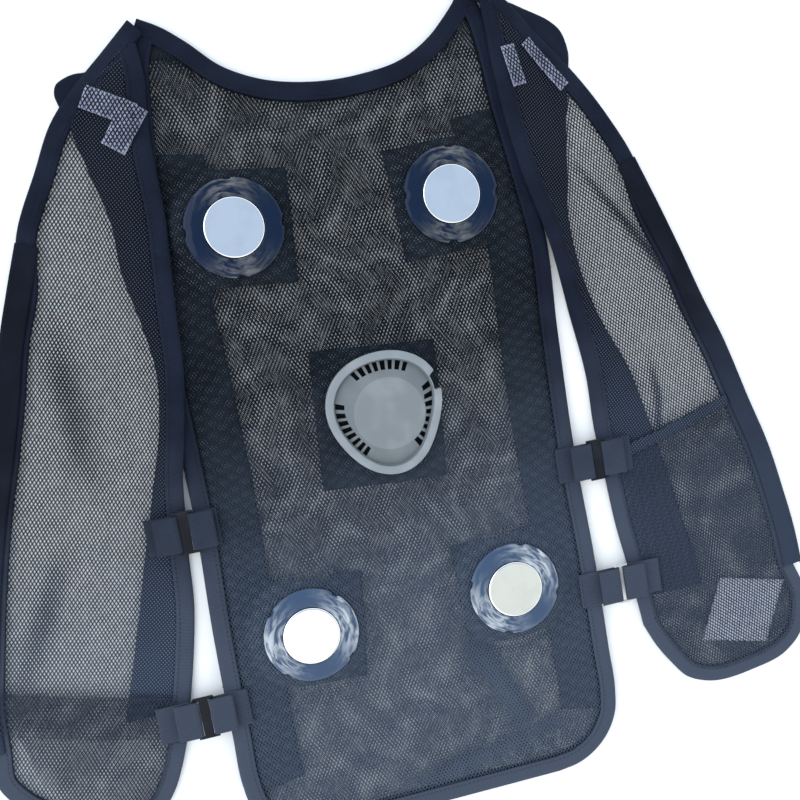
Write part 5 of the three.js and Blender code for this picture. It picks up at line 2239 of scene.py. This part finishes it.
    def build_buckle(self, x: float, y: float, z: float, window: float) -> None:
        """Build the buckle's frame with rounded bars.

        Args:
            x: Its middle across.
            y: Its middle along.
            z: The height of its bars' middle.
            window: The width of an opening.
        """
        room = self.width + 2 * PATTERN.clearance
        span = (2 * window + 3 * self.bar) if self.slider else window + 2 * self.bar
        middle_bar = [-self.middle_bar / 2, self.middle_bar / 2] if self.slider else []
        xs = np.array([-span / 2, self.bar - span / 2, *middle_bar, span / 2 - self.bar, span / 2]) + x
        ys = np.array([-room / 2 - self.bar, -room / 2, room / 2, room / 2 + self.bar]) + y
        mesh = bmesh.new()
        grid = [[mesh.verts.new((a, b, z - self.bar / 2)) for b in ys] for a in xs]
        flat = []
        for i, (here, there) in enumerate(zip(grid, grid[1:])):
            for j in range(len(ys) - 1):
                if not (i % 2 == 1 and j == 1):
                    flat.append(mesh.faces.new([here[j], here[j + 1], there[j + 1], there[j]]))
        raised = bmesh.ops.extrude_face_region(mesh, geom=flat)["geom"]
        for item in raised:
            if isinstance(item, bmesh.types.BMVert):
                item.co.z += self.bar
        bmesh.ops.recalc_face_normals(mesh, faces=mesh.faces)
        sharp = [e for e in mesh.edges if len(e.link_faces) == 2 and e.calc_face_angle() > 0.5]
        bmesh.ops.bevel(mesh, geom=sharp, offset=0.45, segments=3, profile=0.5, affect="EDGES")
        bmesh.ops.triangulate(mesh, faces=[f for f in mesh.faces if len(f.verts) > 4])
        mesh.verts.index_update()
        shape = FanUnit.read(mesh).on_side(self.side.value)
        mesh.free()
        finish = self.finishes.black if self.slider else self.finishes.steel
        name = f"buckle_{self.name}"
        make_piece(f"{name}_frame", shape, [finish], name)


# Floor, light and camera


@dataclass
class Studio:
    """The pale floor and the soft light over it."""

    floor_size: float = 14.0
    floor_drop: float = 0.0002
    floor_dark: Colour = (0.9, 0.9, 0.9, 1)
    floor_light: Colour = (0.93, 0.93, 0.93, 1)
    zenith: Colour = (0.50, 0.62, 0.80, 1.0)
    hemward: Colour = (1.15, 1.15, 1.12, 1.0)
    hemward_right: Colour = (0.78, 0.83, 0.79, 1.0)
    low_sky: Colour = (1.95, 2.0, 2.03, 1.0)
    lamp: float = 1.1
    lamp_spread: float = 0.85
    lamp_colour: tuple = (0.96, 0.99, 1.0)
    lamp_from: tuple = (-0.9, 0.3, 1.0)

    def build(self) -> None:
        """Lay the floor and set the light."""
        self.build_floor()
        self.build_sky()
        self.build_lamp()
        bpy.context.scene.view_settings.view_transform = "Standard"

    def build_floor(self) -> None:
        """Lay a plain pale floor."""
        half = self.floor_size / 2
        mesh = bpy.data.meshes.new("floor")
        corners = [(-half, -half), (half, -half), (half, half), (-half, half)]
        mesh.from_pydata([(x, y, -self.floor_drop) for x, y in corners], [], [(0, 1, 2, 3)])
        floor = bpy.data.objects.new("floor", mesh)
        bpy.context.scene.collection.objects.link(floor)
        made = Dressing("pale_floor", Roughness=0.9, Specular_IOR_Level=0.1)
        noise = made.wiring.node("TexNoise", {"Scale": 3.0, "Detail": 2.0})
        made.wear("Base Color", made.wiring.mix(noise.outputs[0], self.floor_dark, self.floor_light))
        mesh.materials.append(made.material)

    def build_sky(self) -> None:
        """Light the vest from a soft sky that is pale blue above and white low towards the hem."""
        world = bpy.data.worlds.new("soft_sky")
        world.use_nodes = True
        bpy.context.scene.world = world
        tree = world.node_tree
        tree.nodes.clear()
        w = Wiring(tree)
        direction = w.node("TexCoord").outputs["Generated"]
        apart = w.node("SeparateXYZ", {0: direction})
        rightward = w.ranged(apart.outputs[0], 0.08, 0.2)
        white = w.mix(rightward, self.hemward, self.hemward_right)
        hemward = w.ranged(w.maths("MULTIPLY", apart.outputs[1], -1.0), 0.12, 0.26)
        colour = w.mix(hemward, self.zenith, white)
        lower = w.ranged(w.maths("MULTIPLY", apart.outputs[2], -1.0), -0.7, -0.5)
        colour = w.mix(lower, colour, self.low_sky)
        light = w.node("Background", {"Color": colour, "Strength": 1.0})
        out = w.node("OutputWorld")
        tree.links.new(light.outputs[0], out.inputs[0])

    def build_lamp(self) -> None:
        """Hang a soft broad lamp far above, off to one side."""
        data = bpy.data.lights.new("soft_lamp", "SUN")
        data.energy = self.lamp
        data.angle = self.lamp_spread
        data.color = self.lamp_colour
        lamp = bpy.data.objects.new("soft_lamp", data)
        lamp.matrix_world = Vector(self.lamp_from).to_track_quat("Z", "Y").to_matrix().to_4x4()
        bpy.context.scene.collection.objects.link(lamp)


@dataclass
class Camera:
    """The camera where the photograph was taken from, with the frame's metres."""

    place: tuple = (-0.08228, 0.08590, 0.63929)
    look: tuple = (0.15245, -0.11305, -0.98182)
    up: tuple = (0.18532, 0.97909, -0.08396)
    lens: float = 38.97
    sensor: float = 36.0

    def build(self) -> None:
        """Set up the scene's camera."""
        data = bpy.data.cameras.new("camera")
        data.lens = self.lens
        data.sensor_width = self.sensor
        data.clip_start = 0.01
        camera = bpy.data.objects.new("camera", data)
        back = -Vector(self.look).normalized()
        right = Vector(self.up).cross(back).normalized()
        upward = back.cross(right)
        turn = Matrix((right, upward, back)).transposed().to_4x4()
        camera.matrix_world = Matrix.Translation(self.place) @ turn
        bpy.context.scene.collection.objects.link(camera)
        bpy.context.scene.camera = camera


# Where this vest's straps, pockets, notches and folds are


class StrapPlace(NamedTuple):
    """A side strap: share up the back, its buckle's place in strap widths, and its kind of buckle."""

    name: str
    side: Side
    up: float
    buckle: float
    slider: bool


STRAPS = [
    StrapPlace("right_upper", Side.RIGHT, up=0.4, buckle=0.33, slider=True),
    StrapPlace("right_lower", Side.RIGHT, up=0.233, buckle=0.5, slider=False),
    StrapPlace("left_upper", Side.LEFT, up=0.415, buckle=0.02, slider=True),
    StrapPlace("left_lower", Side.LEFT, up=0.188, buckle=0.32, slider=True),
]
# The shares of a front's length at which its pocket starts, at the side and at the tape
POCKETS = {Side.RIGHT: (0.638, 0.592), Side.LEFT: (0.838, 0.782)}
# Degrees that the notches of each ring are turned by
NOTCH_TURNS = {
    Corner.TOP_LEFT: -2.0,
    Corner.TOP_RIGHT: -6.0,
    Corner.BOTTOM_LEFT: 50.0,
    Corner.BOTTOM_RIGHT: -17.0,
}
RIGHT_CREASES = [
    Crease(
        ((182, 158), (224, 95), (252, 52), (280, 7)),
        height=3.0, width=7.0, pinch=0.7, edge=3.0,
    ),
    Crease(
        ((219, -2), (221, -26), (216, -62)),
        height=2.2, width=8.0, pinch=0.6, edge=3.0,
    ),
]
LEFT_CREASES = [
    Crease(
        ((216, 102), (214, 40), (212, -7)),
        height=2.0, width=16.0, pinch=0.25, edge=10.0,
    ),
    Crease(
        ((243, -59), (265, -105), (288, -146)),
        height=2.2, width=14.0, pinch=0.25, edge=8.0,
    ),
]


def main() -> None:
    """Build the vest piece by piece."""
    logging.basicConfig(level=logging.INFO, format="%(name)s %(message)s")
    Camera().build()
    Studio().build()
    finishes = Finishes()
    back = BackForm(PATTERN)
    fronts = {
        Side.RIGHT: FrontForm(back, Side.RIGHT, RIGHT_FRONT, lap=(0.345, 0.44), creases=RIGHT_CREASES),
        Side.LEFT: FrontForm(back, Side.LEFT, LEFT_FRONT, lap=(0.562, 0.612), creases=LEFT_CREASES),
    }
    BackPanel(back, finishes).build()
    for corner in Corner:
        CoolingModule(corner, finishes, NOTCH_TURNS[corner]).build()
    FanUnit(finishes).build()
    FrontPanel(
        form=fronts[Side.RIGHT],
        finishes=finishes,
        weave=NetWeave(2.6, 2.15, opening=0.64, turn=16.0, seed=7, uneven=0.06),
        pocket_down=POCKETS[Side.RIGHT],
        hem=9.0,
        pale_strips=(((139.5, 250), (145, 221), 11.0), ((155, 252.5), (181, 216.5), 8.5)),
        tab=(
            ((140, 275), (150, 266), (160, 256), (170, 243), (180, 231)),
            (
                *((142, 284), (152, 280), (166, 273), (178, 265.5)),
                *((185, 258), (188, 249), (189, 240), (187.5, 231)),
            ),
        ),
    ).build()
    FrontPanel(
        form=fronts[Side.LEFT],
        finishes=finishes,
        weave=NetWeave(2.65, 2.2, opening=0.65, turn=14.0, seed=11, uneven=0.06),
        pocket_down=POCKETS[Side.LEFT],
        hem=32.0,
        pale_strips=(((163, 254), (131, 235), 16.0), ((128.5, 242), (149.5, 215.5), 18.0)),
        tab=(
            ((150, 262), (160, 254), (170, 246)),
            ((158, 270), (166, 270), (173, 268), (179.5, 264), (181.5, 258), (180, 250)),
        ),
        pocket_opening=0.86,
        pocket_turn=0.5,
        pocket_gap=18.0,
        net_hem=True,
    ).build()
    SewnLabel(fronts[Side.RIGHT], finishes).build()
    for place in STRAPS:
        SideStrap(*place, fronts[place.side], POCKETS[place.side][0], finishes).build()


if __name__ == "__main__":
    main()
